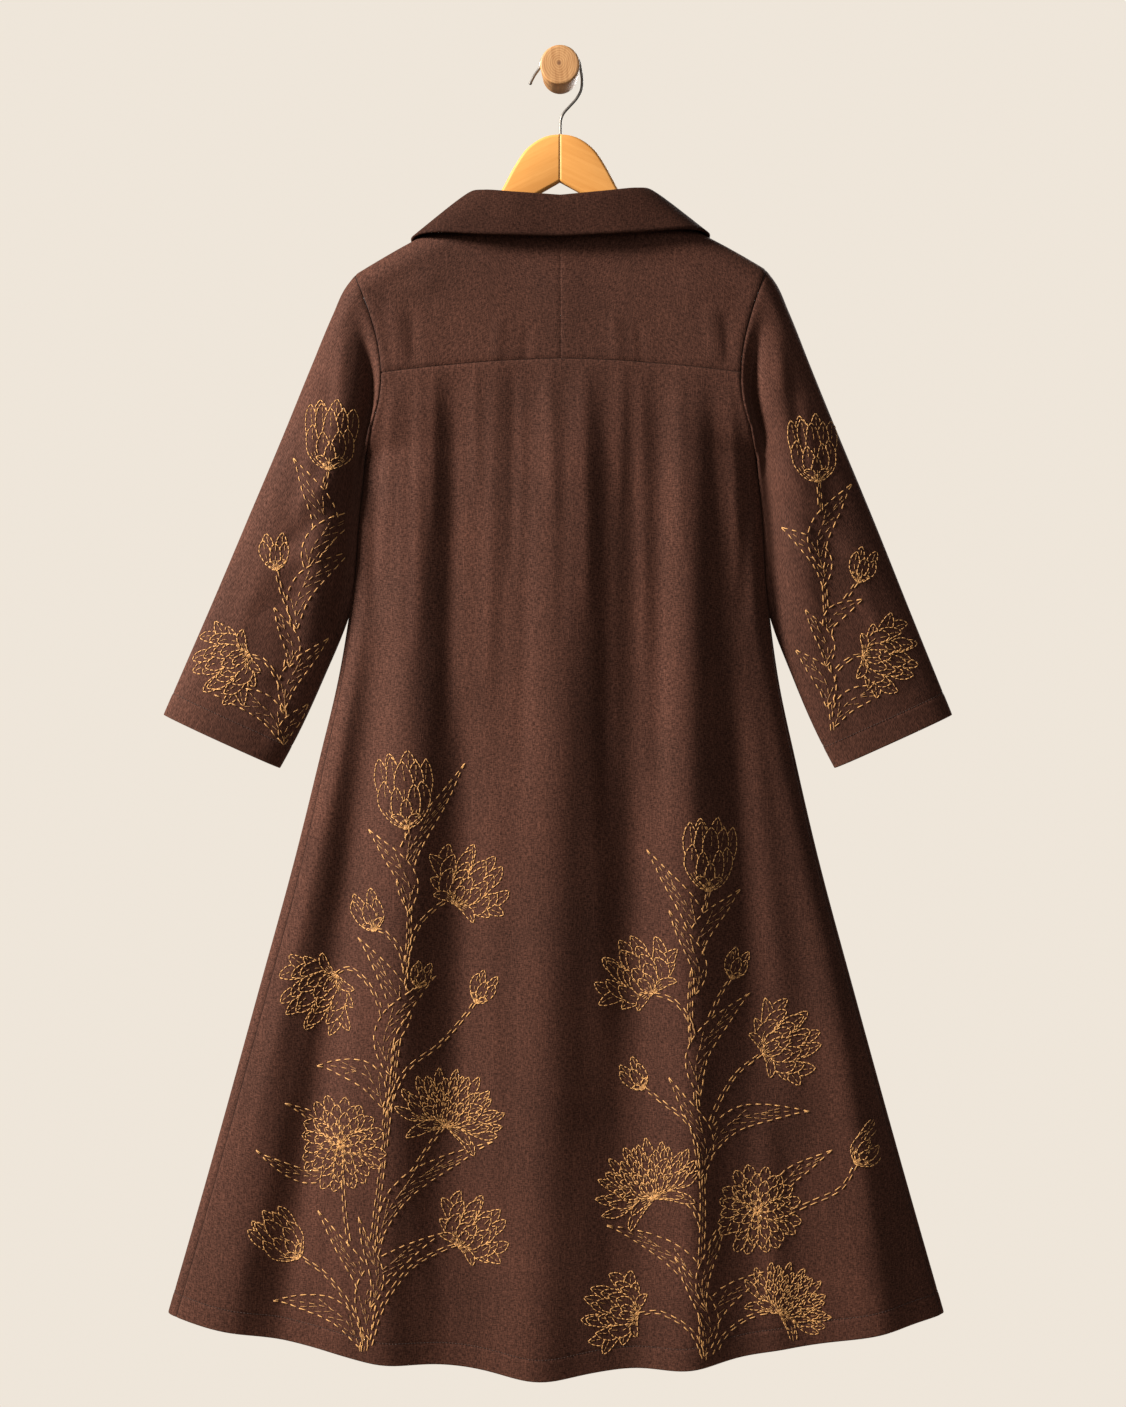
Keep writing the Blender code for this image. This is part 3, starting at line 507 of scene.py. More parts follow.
def by_length(table):
    """An edge as three dense arrays: share of its length, half width, drop."""
    drops = np.linspace(table[0][0], table[-1][0], 500)
    wide = smooth_table(table, drops, 1)
    run = running(np.hypot(np.diff(wide), np.diff(drops)))
    return run / run[-1], wide, drops


def edge_at(edge, share):
    """Half width and drop of an edge at a share of its length."""
    return np.interp(share, edge[0], edge[1]), np.interp(share, edge[0], edge[2])


OUTER_EDGE = by_length(SLEEVE_OUTER)
INNER_EDGE = by_length(SLEEVE_INNER)
SEAM_EDGE = by_length(((206, 207), *ARMHOLE[1:]))


def sleeve_surface(hand, turn, v):
    """A place on a sleeve: turn is the angle round the arm, over the back up to a half turn, and v
    the share of the length. Its chord, from the outer edge to the inner, is (1 − cos(turn)) ÷ 2."""
    turn, v = np.broadcast_arrays(np.asarray(turn, float), np.asarray(v, float))
    chord = (1 - np.cos(turn)) / 2
    back_side = turn <= np.pi
    seam_x, seam_drop = edge_at(SEAM_EDGE, chord)
    seam_y = cloth_on(back_side, hand * seam_x, seam_drop, seam_drop)
    first_x, first_drop = edge_at(SEAM_EDGE, 0.0)
    last_x, last_drop = edge_at(SEAM_EDGE, 1.0)
    bulge = np.maximum(1 - v / SEAM_REACH, 0.0) ** 2
    outer_x, outer_drop = edge_at(OUTER_EDGE, v)
    inner_x, inner_drop = edge_at(INNER_EDGE, v)
    x = outer_x + chord * (inner_x - outer_x)
    x = x + bulge * (seam_x - first_x - chord * (last_x - first_x))
    drop = outer_drop + chord * (inner_drop - outer_drop)
    drop = drop + bulge * (seam_drop - first_drop - chord * (last_drop - first_drop))
    profile = (1 - np.abs(np.cos(turn)) ** SLEEVE_CORNER) ** (1 / SLEEVE_CORNER)
    back = smooth_table(SLEEVE_DEPTH, v, 1)
    front = smooth_table(SLEEVE_DEPTH, v, 2)
    own_y = HANG_Y + np.where(back_side, -back, front) * profile
    y = seam_y + (own_y - seam_y) * ease(v / SEAM_DEPTH_REACH)
    body_edge = body_half_width(np.clip(drop, SHOULDER_DROP, 900))
    away = x - body_edge
    reach = ease((drop - 235) / 90) * (1 - ease((drop - 520) / 120)) * ease(v / 0.05)
    valley = VALLEY_DEPTH * np.exp(-(((away - VALLEY_FROM_SEAM) / VALLEY_HALF) ** 2))
    ridge = RIDGE_HEIGHT * np.exp(-(((away - RIDGE_FROM_SEAM) / RIDGE_HALF) ** 2))
    uneven = slack(hand * x, drop)
    small = np.where(back_side, -crease_height(SLEEVE_BACK_CREASES, x, drop) - uneven,
                     crease_height(SLEEVE_FRONT_CREASES, x, drop) + uneven)
    y = y + np.where(back_side, (valley - ridge) * reach * profile, 0.0)
    y = y + small * profile**2 * ease(v / 0.12)
    below = ease((drop - UNDERARM_DROP + 30) / 30)
    clear = SLEEVE_GAP + (UNDERARM_CLEARANCE - SLEEVE_GAP) * below
    x = np.where(drop < 600, np.maximum(x, body_edge + clear), x)
    x = x + SLEEVE_GAP * (1 - ease(v / 0.4)) * (x < body_edge + 3)
    drop = drop + SLEEVE_GAP * (1 - chord) * (1 - v)
    return hand * x, y, drop


cuff = place(*sleeve_surface(1, np.array([0.0, np.pi]), np.array([1.0, 1.0])))
print("right cuff, outer and inner end, in metres:", cuff.round(3).tolist())

# %% [markdown]
# The collar is one band that stands up from the neckline, rolls over its fold and falls flat on
# the shoulders. Its section is two smooth curves that meet at the fold, and the section is
# carried from the left front end round the back of the neck to the right front end. Where the
# fall would cut into the shoulders, it is pushed out until it rests just above them.

# %% The collar as a formula
# station from the middle of the back (0) to the front end (1), x, y, drop
COLLAR_FOLD = (
    (0.00, 0, -53, 131.5),
    (0.18, 46, -52, 127.5),
    (0.32, 76, -46, 124.0),
    (0.45, 88, -33, 124.5),
    (0.52, 81, -24, 131.0),
    (0.60, 66, -17, 147.0),
    (0.78, 38, -14.5, 187.0),
    (1.00, 3, -14.5, 217.0),
)
COLLAR_EDGE = (
    (0.00, 0, -68, 174.0),
    (0.18, 78, -67, 171.0),
    (0.32, 130, -58, 167.0),
    (0.45, 150, -35, 169.5),
    (0.52, 150, -24, 175.0),
    (0.60, 143, -14, 192.0),
    (0.78, 108, -12.0, 226.0),
    (1.00, 58, -12.0, 266.0),
)
COLLAR_SIDE = 0.45
COLLAR_ROLL = 6.0
COLLAR_REST = 2.8
COLLAR_REST_EXTRA = 0.6
COLLAR_GAP = 0.8
STAND_SHARE = 0.36


def neckline(station):
    """The neckline seam: a quarter turn of the half neck behind, and another one in front."""
    behind = station <= COLLAR_SIDE
    turn = np.where(behind, station / COLLAR_SIDE, (1 - station) / (1 - COLLAR_SIDE)) * np.pi / 2
    x = NECK_HALF * np.sin(turn)
    near = np.minimum(x, NECK_HALF - 0.01)
    drop = np.where(behind, top_drop(near, BACK_NECK_DROP, BACK_NECK_POWER),
                    top_drop(near, FRONT_NECK_DROP, FRONT_NECK_POWER))
    y = cloth_on(behind, x, drop, np.full_like(drop, SHOULDER_DROP))
    return np.stack([x, y, drop], axis=-1)


def collar_base(station):
    """The collar's seam edge: the neckline moved a little into the neck's opening."""
    run = neckline(np.minimum(station + 0.002, 1.0)) - neckline(np.maximum(station - 0.002, 0.0))
    length = np.hypot(run[..., 0], run[..., 2])[..., None]
    away = np.stack([-np.abs(run[..., 2]), 0 * station, -np.abs(run[..., 0])], axis=-1) / length
    at_side = np.exp(-(((station - COLLAR_SIDE) / 0.1) ** 2))[..., None]
    gap = COLLAR_GAP * (1 + 0.8 * ease((station - 0.7) / 0.2))[..., None]
    base = neckline(station) + away * gap * (1 - at_side) + np.array([-1.0, 0.0, -2.0]) * at_side
    base[..., 0] = np.maximum(base[..., 0], np.where(station < COLLAR_SIDE, 0.0, COLLAR_GAP))
    return base


def rest_on_body(point):
    """Points of the fall moved outward until they lie clear of the body's cloth."""
    x, y, drop = point[..., 0], point[..., 1], point[..., 2]
    side = np.where(y < HANG_Y, -1, 1)
    below = drop - shoulder_drop(x) + COLLAR_REST + COLLAR_REST_EXTRA
    near = drop + COLLAR_REST + COLLAR_REST_EXTRA
    cloth = cloth_on(side < 0, x, near, np.full_like(drop, SHOULDER_DROP))
    least = np.abs(cloth - HANG_Y) + COLLAR_REST * round_over(below / 5.0)
    rested = HANG_Y + side * np.maximum(side * (y - HANG_Y), least)
    return np.stack([x, np.where(below > 0, rested, y), drop], axis=-1)


def cubic(a, b, c, d, t):
    """The cubic curve from a to d with the handles b and c."""
    return (1 - t)**3 * a + 3 * (1 - t)**2 * t * b + 3 * (1 - t) * t**2 * c + t**3 * d


def collar_surface(way, share):
    """A place on the collar: way from -1 to 1 along it, share from its seam over the fold to its
    lower edge."""
    station = np.abs(way)
    base = collar_base(station)
    fold = smooth_points(COLLAR_FOLD, station, (1, 2, 3))
    edge = smooth_points(COLLAR_EDGE, station, (1, 2, 3))
    turn = np.where(station < COLLAR_SIDE, ease(station / COLLAR_SIDE),
                    1 + ease((station - COLLAR_SIDE) / 0.15)) * np.pi / 2
    outward = np.stack([np.sin(turn), -np.cos(turn), 0 * turn], axis=-1)
    roll = (COLLAR_ROLL * (1 - 0.45 * ease((station - COLLAR_SIDE) / 0.2)))[..., None]
    up = (1 - (1 - np.clip(share / STAND_SHARE, 0, 1)) ** 1.5)[..., None]
    down = (np.clip((share - STAND_SHARE) / (1 - STAND_SHARE), 0, 1) ** 1.5)[..., None]
    stand = cubic(base, base + 0.5 * (fold - base), fold - roll * outward, fold, up)
    low = edge + 0.45 * (fold - edge) + 2 * outward
    fall = rest_on_body(cubic(fold, fold + roll * outward, low, edge, down))
    point = np.where(share[..., None] <= STAND_SHARE, stand, fall)
    return np.where(way < 0, -1, 1) * point[..., 0], point[..., 1], point[..., 2]


tip = place(*collar_surface(np.array([0.0]), np.array([1.0])))
print("collar's lower edge at the middle of the back, in metres:", tip.round(3).tolist())

# %% [markdown]
# Every cloth piece goes through the same steps: a grid of points, a soft groove where it is sewn
# to its neighbour, a UV map in metres along the threads, and a mesh with one quad between four
# neighbours. Solidify then gives the sheet its thickness on both sides, as real cloth has. The
# map comes from distances measured over the cloth, so the weave keeps its size on every fold.

# %% From a grid to a cloth mesh
GROOVE_DEPTH = 0.9
GROOVE_HALF = 1.7
# painted shade: how far from a seam its groove is darkened, in mm
SEAM_SHADE_REACH = 1.0
FAINT_SHARE = 0.35
HEM_STEP = 0.25
HEM_DIP = 0.35
# painted shade: how dark a hem's stitch line is made
HEM_LINE_SHADE = 0.45
WEAR_REACH = 2.5


def normals_of(grid, sign):
    """Unit normals of a grid: the cross product of its two directions, times the sign."""
    return unit(np.cross(np.gradient(grid, axis=0), np.gradient(grid, axis=1)) * sign)


def steps_of(grid):
    """Distances between neighbours, along the rows and down the columns."""
    return (np.linalg.norm(np.diff(grid, axis=1), axis=-1),
            np.linalg.norm(np.diff(grid, axis=0), axis=-1))


def edge_distances(grid):
    """For each point the way over the cloth, in millimetres, to the grid's four edges."""
    over, down = steps_of(grid)
    left = np.concatenate([np.zeros((len(grid), 1)), np.cumsum(over, axis=1)], axis=1) / MM
    top = np.concatenate([np.zeros((1, grid.shape[1])), np.cumsum(down, axis=0)], axis=0) / MM
    return {"left": left, "right": left[:, -1:] - left, "top": top, "bottom": top[-1:] - top}


def sewn(grid, sign, seams, hems=(), faint=()):
    """The grid with a groove along each seam, and each hem turned up: its band stands a little
    proud below the line of its stitches. hems holds pairs of an edge and the band's width. The
    two values that come back are how near a worn edge each point is, and how much painted shade
    it gets in the grooves of the seams and of the hems' stitch lines."""
    reach = edge_distances(grid)
    height, wear, seam = np.zeros((3, *grid.shape[:2]))
    for edge in (*seams, *faint):
        depth = FAINT_SHARE if edge in faint else 1.0
        height = height - depth * GROOVE_DEPTH * np.exp(-((reach[edge] / GROOVE_HALF) ** 2))
        # painted shade in the seam's groove
        seam = np.maximum(seam, depth * np.exp(-((reach[edge] / SEAM_SHADE_REACH) ** 2)))
    for edge, band in hems:
        height = height + HEM_STEP * (ease((band - reach[edge]) / 3.0) - ease((2 - reach[edge]) / 3))
        at_line = np.exp(-(((reach[edge] - band) / GROOVE_HALF) ** 2))
        height = height - HEM_DIP * at_line
        wear = np.maximum(wear, np.exp(-reach[edge] / WEAR_REACH))
        # painted shade along the hem's stitch line
        seam = np.maximum(seam, HEM_LINE_SHADE * at_line)
    return grid + normals_of(grid, sign) * height[..., None] * MM, {"wear": wear, "seam": seam}


def spaced(*runs):
    """Shares from 0 to 1 in runs of even steps. Each run gives its steps and its last share."""
    parts, last = [[0.0]], 0.0
    for steps, stop in runs:
        parts.append(np.linspace(last, stop, steps + 1)[1:])
        last = stop
    return np.concatenate(parts)


def numbered(rows, columns, closed):
    """The number of the vertex at each grid point. A closed grid's last column is its first."""
    loops = columns - int(closed)
    index = np.arange(rows * loops).reshape(rows, loops)
    return np.concatenate([index, index[:, :1]], axis=1) if closed else index


def corners_of(values, sign):
    """What a grid holds at the four corners of each quad, in the order that faces outward."""
    rows, columns = values.shape[:2]
    order = ((0, 0), (1, 0), (1, 1), (0, 1)) if sign > 0 else ((0, 0), (0, 1), (1, 1), (1, 0))
    return np.stack([values[r:rows - 1 + r, c:columns - 1 + c] for r, c in order], axis=2)


def point_values(mesh, name, values):
    """Give each vertex a value of its own, which a material reads by this name."""
    layer = mesh.attributes.new(name, "FLOAT", "POINT")
    layer.data.foreach_set("value", np.ascontiguousarray(values, np.float32).ravel())


def grid_mesh(name, grid, sign, closed, shades):
    """A mesh with a quad between each four neighbours. A closed grid repeats its first column as
    its last, for the map, and its mesh joins the two."""
    columns = grid.shape[1]
    loops = columns - int(closed)
    faces = corners_of(numbered(*grid.shape[:2], closed), sign)
    reach = edge_distances(grid)
    middle = reach["left"][:, columns // 2:columns // 2 + 1]
    flat = np.stack([(reach["left"] - middle) * MM, reach["top"] * MM], axis=-1)
    mesh = bpy.data.meshes.new(name)
    mesh.from_pydata(grid[:, :loops].reshape(-1, 3), [], faces.reshape(-1, 4))
    weave = mesh.uv_layers.new(name="weave")
    weave.uv.foreach_set("vector", corners_of(flat, sign).astype(np.float32).ravel())
    for shade, values in shades.items():
        point_values(mesh, shade, values[:, :loops])
    mesh.shade_smooth()
    return add_object(name, mesh)


def thicken(piece, thickness):
    """Give a sheet its thickness on both sides with Solidify."""
    wall = piece.modifiers.new("wall", "SOLIDIFY")
    wall.thickness = thickness * MM
    wall.offset = 0.0
    wall.use_even_offset = False
    wall.use_quality_normals = True


def flat_size(grid):
    """The piece laid flat, in metres: its widest row, its longest column and its area."""
    over, down = steps_of(grid)
    area = np.sum((over[:-1] + over[1:]) / 2 * (down[:, :-1] + down[:, 1:]) / 2)
    return float(over.sum(axis=1).max()), float(down.sum(axis=0).max()), float(area)


print("groove in mm:", GROOVE_DEPTH, "deep,", 2 * GROOVE_HALF, "wide")

# %% [markdown]
# The cloth is a slubbed plain weave in dark brown: two tones of thread cross, some of them
# thicker than the rest. A picture of a weave would be fixed in size, so the threads are noise
# that is stretched along the warp on one layer and along the weft on the other, read from the
# map in metres. Their height also feeds the bump, and slow streaks and clouds shift the tone. The
# worn edges of the hems and cuffs are a little lighter, and painted shade darkens the grooves of
# the seams and of the hems' stitch lines.

# %% The cloth's material
THREADS_PER_METRE = 1000
SLUB_STRETCH = 4


def stretched_noise(tree, source, scale, detail=2.0, kind="2D"):
    """Noise on a coordinate whose axes are scaled apart, so that its grains become streaks."""
    mapped = add_node(tree, "Mapping", {"Vector": source, "Scale": scale})
    return add_node(tree, "TexNoise", {"Vector": mapped.outputs[0], "Scale": 1.0, "Detail": detail},
                    noise_dimensions=kind).outputs[0]


def between(tree, value, low, high, to_low, to_high):
    """A value carried from one range to another and clamped."""
    return add_node(tree, "MapRange", {"Value": value, "From Min": low, "From Max": high,
                                       "To Min": to_low, "To Max": to_high}).outputs[0]


def maths(tree, operation, a, b):
    """One arithmetic step between two values."""
    return add_node(tree, "Math", {0: a, 1: b}, operation=operation).outputs[0]


def weighted(tree, a, share_a, b, share_b):
    """The sum of two values, each times its share."""
    return maths(tree, "ADD", maths(tree, "MULTIPLY", a, share_a), maths(tree, "MULTIPLY", b, share_b))


def blend_colours(tree, factor, a, b, way="MIX"):
    """Two colours mixed by a factor."""
    return add_node(tree, "Mix", {0: factor, 6: a, 7: b}, data_type="RGBA", blend_type=way).outputs[2]


def read_value(tree, name):
    """The value that point_values gave the vertices under this name."""
    return add_node(tree, "Attribute", attribute_name=name).outputs["Fac"]


def relief(tree, strength, distance, height):
    """A bump in metres from a height."""
    return add_node(tree, "Bump", {"Strength": strength, "Distance": distance, "Height": height}).outputs[0]


def cloth_material(name, depth):
    """Dark and light threads, streaks, clouds, worn edges, painted seam shade, and the weave's relief.
    depth below 1 gives a darker tone with less specular and sheen, which the collar's cloth has."""
    material, tree, shader = principled(name)
    weave = add_node(tree, "UVMap", uv_map="weave").outputs[0]
    thin, long = THREADS_PER_METRE, THREADS_PER_METRE / SLUB_STRETCH
    warp = stretched_noise(tree, weave, (thin, long, 1))
    weft = stretched_noise(tree, weave, (long, thin, 1))
    slub = stretched_noise(tree, weave, (thin / 2, long / 6, 1), 1.0)
    fleck = stretched_noise(tree, weave, (thin / 1.6, thin / 2.2, 1), 0.0)
    streak = stretched_noise(tree, weave, (95, 7, 1))
    threads = maths(tree, "MULTIPLY", maths(tree, "ADD", warp, weft), 0.5)
    threads = maths(tree, "ADD", threads, between(tree, slub, 0.60, 0.80, 0.0, 0.12))
    tone = between(tree, threads, 0.37, 0.67, 0.0, 0.9)
    tone = maths(tree, "ADD", tone, between(tree, fleck, 0.70, 0.82, 0.0, 0.5))
    colour = blend_colours(tree, tone, (0.028, 0.0096, 0.0059, 1), (0.108, 0.0412, 0.0262, 1))
    spot = add_node(tree, "TexCoord").outputs["Object"]
    clouds = add_node(tree, "TexNoise", {"Vector": spot, "Scale": 11.0, "Detail": 3.0}).outputs[0]
    shade = maths(tree, "MULTIPLY", between(tree, clouds, 0.3, 0.7, 0.87 * depth, 1.13 * depth),
                  between(tree, streak, 0.3, 0.7, 0.96, 1.05))
    grey = add_node(tree, "CombineColor", {0: shade, 1: shade, 2: shade}).outputs[0]
    colour = blend_colours(tree, 1.0, colour, grey, "MULTIPLY")
    wear = between(tree, read_value(tree, "wear"), 0.2, 1.0, 0.0, 0.22)
    colour = blend_colours(tree, wear, colour, (0.16, 0.068, 0.042, 1))
    # painted shade: the grooves of seams and of hems' stitch lines are mixed toward near black
    seam = between(tree, read_value(tree, "seam"), 0.3, 1.0, 0.0, 0.75)
    colour = blend_colours(tree, seam, colour, (0.012, 0.005, 0.004, 1))
    height = maths(tree, "ADD", threads, maths(tree, "MULTIPLY", streak, 0.3))
    set_inputs(tree, shader, {
        "Base Color": colour, "Roughness": between(tree, threads, 0.3, 0.7, 0.92, 0.74),
        "Normal": relief(tree, 0.55, 0.0005, height), "Specular IOR Level": 0.16 * depth,
        "Sheen Weight": 0.05 * depth, "Sheen Roughness": 0.45, "Sheen Tint": (0.95, 0.62, 0.45, 1)})
    return material


CLOTH_LOOK = cloth_material("brown slubbed cloth", 1.0)
COLLAR_LOOK = cloth_material("darker brown slubbed cloth", 0.55)
print("cloth nodes:", len(CLOTH_LOOK.node_tree.nodes))

# %% [markdown]
# Now the panels are cut. The back lies between the two side seams, the yoke is two halves that
# meet in a faint middle seam, and each front goes round the side to meet the back. Angles rather
# than plain distances are spaced evenly across the body, because the cloth turns sharply at its
# sides and needs its points there. Side seams leave a hair's breadth between the panels.

# %% Back, yoke and fronts
SEAM_ANGLE = 0.0015
SEAM_DROP = 0.15
FREE_EDGE = 0.25
BACK_ROWS = spaced((2, 0.003), (178, 0.968), (24, 1))
BACK_COLUMNS = spaced((2, 0.004), (190, 0.996), (2, 1))
FRONT_ROWS = np.concatenate([0.968 * np.linspace(0, 1, 150) ** 1.45, np.linspace(0.968, 1, 25)[1:]])
FRONT_COLUMNS = spaced((6, 0.04), (86, 0.994), (2, 1))
YOKE_ROWS = np.concatenate([0.988 * np.linspace(0, 1, 61) ** 1.7, [0.994, 1.0]])
YOKE_COLUMNS = spaced((2, 0.01), (70, 0.99), (2, 1))
HEM_BAND = 22.0
FACING_STITCH = 7.0


def seam_angle(edge_drop, hand):
    """The angle between the side's very edge and its seam: zero at the underarm, wider below."""
    grown = SEAM_INSET[hand] * ease((edge_drop - UNDERARM_DROP) / 500.0)
    return np.arccos(1 - grown / body_half_width(edge_drop))


def cloth_piece(name, node, grid, sign, seams, hems=(), faint=(), closed=False, thickness=CLOTH,
                look=CLOTH_LOOK):
    """Sew, mesh and thicken a grid, dress it, and put it in the place of its CAD node."""
    sewn_grid, shades = sewn(grid, sign, seams, hems, faint)
    piece = grid_mesh(name, sewn_grid, sign, closed, shades)
    piece.data.materials.append(look)
    thicken(piece, thickness)
    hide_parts(node)
    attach(piece, "root")
    print(name, "quads:", len(piece.data.polygons), "flat size in m:",
          [round(size, 3) for size in flat_size(grid)])
    return piece, sewn_grid


edge_drops = YOKE_EDGE_DROP + SEAM_DROP + (HEM_EDGE_DROP - YOKE_EDGE_DROP - SEAM_DROP) * BACK_ROWS[:, None]
left_end, right_end = (hand * (np.pi / 2 - seam_angle(edge_drops, hand)
                               - SEAM_ANGLE * (edge_drops >= UNDERARM_DROP)) for hand in (-1, 1))
angles = left_end + (right_end - left_end) * BACK_COLUMNS
back_grid = place(*back_surface(np.sin(angles), edge_drops + 0 * angles))
coat_back, back_grid = cloth_piece("coat_back", "back_body", back_grid, 1,
                                   ("left", "right", "top"), (("bottom", HEM_BAND),))


def yoke_grid(hand):
    """Half of the yoke. Its first column is the middle seam, its first row the neck and ridge."""
    share, across = np.meshgrid(YOKE_ROWS, YOKE_COLUMNS, indexing="ij")
    x, y, drop = yoke_surface(hand, across, share)
    x[:, 0] = 0.0
    y[0] = np.minimum(y[0], HANG_Y - COLLAR_GAP / 2)
    drop[-1] -= SEAM_DROP
    return place(x, y, drop)


def front_grid(hand):
    """A front, from its free edge at the middle round the side to the seam at the back."""
    edge = SHOULDER_DROP + (HEM_EDGE_DROP - SHOULDER_DROP) * FRONT_ROWS[:, None]
    start = FREE_EDGE / body_half_width(edge)
    end = np.pi / 2 + seam_angle(edge, hand) - SEAM_ANGLE * (edge >= UNDERARM_DROP)
    bend = start + (end - start) * FRONT_COLUMNS
    x, y, drop = front_surface(hand, bend, edge + 0 * bend)
    y[0] = np.maximum(y[0], HANG_Y + COLLAR_GAP / 2)
    return place(x, y, drop)


HANDS = {"left": -1, "right": 1}
cloth = {"coat_back": (coat_back, back_grid, 1)}
for word, hand in HANDS.items():
    cloth[f"coat_yoke_{word}"] = (*cloth_piece(
        f"coat_yoke_{word}", f"back_yoke_{word}", yoke_grid(hand), hand, ("bottom", "right"),
        faint=("left",)), hand)
    cloth[f"coat_front_{word}"] = (*cloth_piece(
        f"coat_front_{word}", f"front_{word}", front_grid(hand), -hand, ("right",),
        (("bottom", HEM_BAND), ("left", FACING_STITCH))), -hand)

# %% [markdown]
# A sleeve closes on itself, so its grid repeats the first column as the last and the mesh joins
# them, while the map runs on to the full width round the arm. The rings are closer together near
# the armhole, where the shape changes most, and the cuff has a turned hem like the skirt's.

# %% Sleeves and collar
SLEEVE_RINGS = spaced((2, 0.005), (108, 0.95), (22, 1)) ** 1.12
SLEEVE_COLUMNS = 128
COLLAR_ROWS, COLLAR_COLUMNS = 46, 190
CUFF_BAND = 24.0
COLLAR_THICKNESS = 2.4


def sleeve_grid(hand):
    """Rings round the arm, from the armhole to the cuff."""
    return place(*sleeve_surface(hand, np.linspace(0, 2 * np.pi, SLEEVE_COLUMNS + 1), SLEEVE_RINGS[:, None]))


for word, hand in HANDS.items():
    cloth[f"coat_sleeve_{word}"] = (*cloth_piece(
        f"coat_sleeve_{word}", f"sleeve_{word}", sleeve_grid(hand), -hand, ("top",),
        (("bottom", CUFF_BAND),), closed=True), -hand)

share, way = np.meshgrid(np.linspace(0, 1, COLLAR_ROWS + 1), np.linspace(-1, 1, COLLAR_COLUMNS + 1),
                         indexing="ij")
collar_grid = place(*collar_surface(way, share))
cloth["coat_collar"] = (*cloth_piece("coat_collar", "collar", collar_grid, 1, (),
                                     thickness=COLLAR_THICKNESS, look=COLLAR_LOOK), 1)

# %% [markdown]
# Thread is what this coat is known by, and at arm's length each stitch is a small raised grain
# of twisted thread that dives into the cloth at both ends. There are thousands of them, so one
# stitch has few faces: a five-sided spindle of four rings. All stitches of a spray are worked out
# in one array and joined in one mesh, and a map along and round each gives the twist its place.

# %% Stitches in one mesh
RING_SHARES = np.array([0.0, 0.22, 0.78, 1.0])
RING_GIRTHS = np.array([0.42, 1.0, 1.0, 0.42])
RING_RISES = np.array([-0.55, 0.55, 0.55, -0.55])
SIDES = 5


def stitches(name, start, end, normal, wide, high, shade, material):
    """Spindles from start to end: a corner is the middle line + sideways × cos + up × sin of its
    angle, times the ring's girth, and the middle line rises and dives with RING_RISES."""
    count = len(start)
    length = np.linalg.norm(end - start, axis=1, keepdims=True)
    run = unit(end - start)
    sideways = unit(np.cross(normal, run))
    up = np.cross(run, sideways)
    angle = 2 * np.pi * (np.arange(SIDES) + 0.25) / SIDES
    middle = (start[:, None] + (end - start)[:, None] * RING_SHARES[:, None]
              + up[:, None] * (RING_RISES[:, None] * high[:, None, None]))
    half_wide = (wide[:, None] * RING_GIRTHS / 2)[..., None, None]
    half_high = (high[:, None] * RING_GIRTHS / 2)[..., None, None]
    ring = (middle[:, :, None] + sideways[:, None, None] * np.cos(angle)[:, None] * half_wide
            + up[:, None, None] * np.sin(angle)[:, None] * half_high)
    rings = len(RING_SHARES)
    corner = np.arange(rings * SIDES).reshape(rings, SIDES)
    after = np.roll(corner, -1, axis=1)
    quads = np.stack([corner[:-1], after[:-1], after[1:], corner[1:]], axis=-1).reshape(-1, 4)
    caps = np.stack([corner[0][::-1], corner[-1]])
    first = (np.arange(count) * rings * SIDES)[:, None, None]
    quads = (quads + first).reshape(-1, 4)
    caps = (caps + first).reshape(-1, SIDES)
    mesh = bpy.data.meshes.new(name)
    mesh.from_pydata(ring.reshape(-1, 3), [], quads.tolist() + caps.tolist())
    point_values(mesh, "along", (RING_SHARES * length / MM)[:, :, None] + np.zeros(SIDES))
    point_values(mesh, "around", np.broadcast_to(np.abs(np.sin(angle / 2)), (count, rings, SIDES)))
    point_values(mesh, "shade", np.repeat(shade, rings * SIDES))
    mesh.shade_smooth()
    mesh.materials.append(material)
    piece = add_object(name, mesh)
    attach(piece, "root")
    print(name, "stitches:", count)
    return piece


def thread_material(name, deep, bright, roughness, sheen):
    """Twisted thread: a band pattern that runs askew along and round the stitch, over a tone that
    each stitch has of its own."""
    material, tree, shader = principled(name)
    askew = weighted(tree, read_value(tree, "along"), 5.2, read_value(tree, "around"), 4.0)
    twist = maths(tree, "SINE", askew, 0.0)
    tone = weighted(tree, read_value(tree, "shade"), 0.85, twist, 0.13)
    colour = blend_colours(tree, add_node(tree, "Clamp", {0: tone}).outputs[0], deep, bright)
    set_inputs(tree, shader, {
        "Base Color": colour, "Roughness": between(tree, twist, -1, 1, roughness + 0.12, roughness),
        "Normal": relief(tree, 0.6, 0.0002, twist), "Sheen Weight": sheen, "Sheen Roughness": 0.35})
    return material


GOLD_THREAD = thread_material("gold thread", (0.20, 0.074, 0.018, 1), (0.96, 0.515, 0.175, 1), 0.45, 0.15)
BROWN_THREAD = thread_material("brown sewing thread", (0.022, 0.009, 0.006, 1), (0.07, 0.03, 0.02, 1),
                               0.6, 0.1)
print("faces in one stitch:", 3 * SIDES + 2)

# %% [markdown]
# Machine stitches hold the hems, the cuffs and the fronts' edges. They lie at an even distance
# from an edge, so the line is found on the finished grid: in each column, the place where the
# measured distance from the edge equals the band's width. The line is then cut into short
# stitches of one length with a small gap.

# %% Machine stitching
SEWING_STEP = 3.2
SEWING_GAP = 0.7
SEWING_WIDE = 0.7
SEWING_HIGH = 0.45
SEWING_LIFT = 0.1
SEWING_SHADE = 0.5


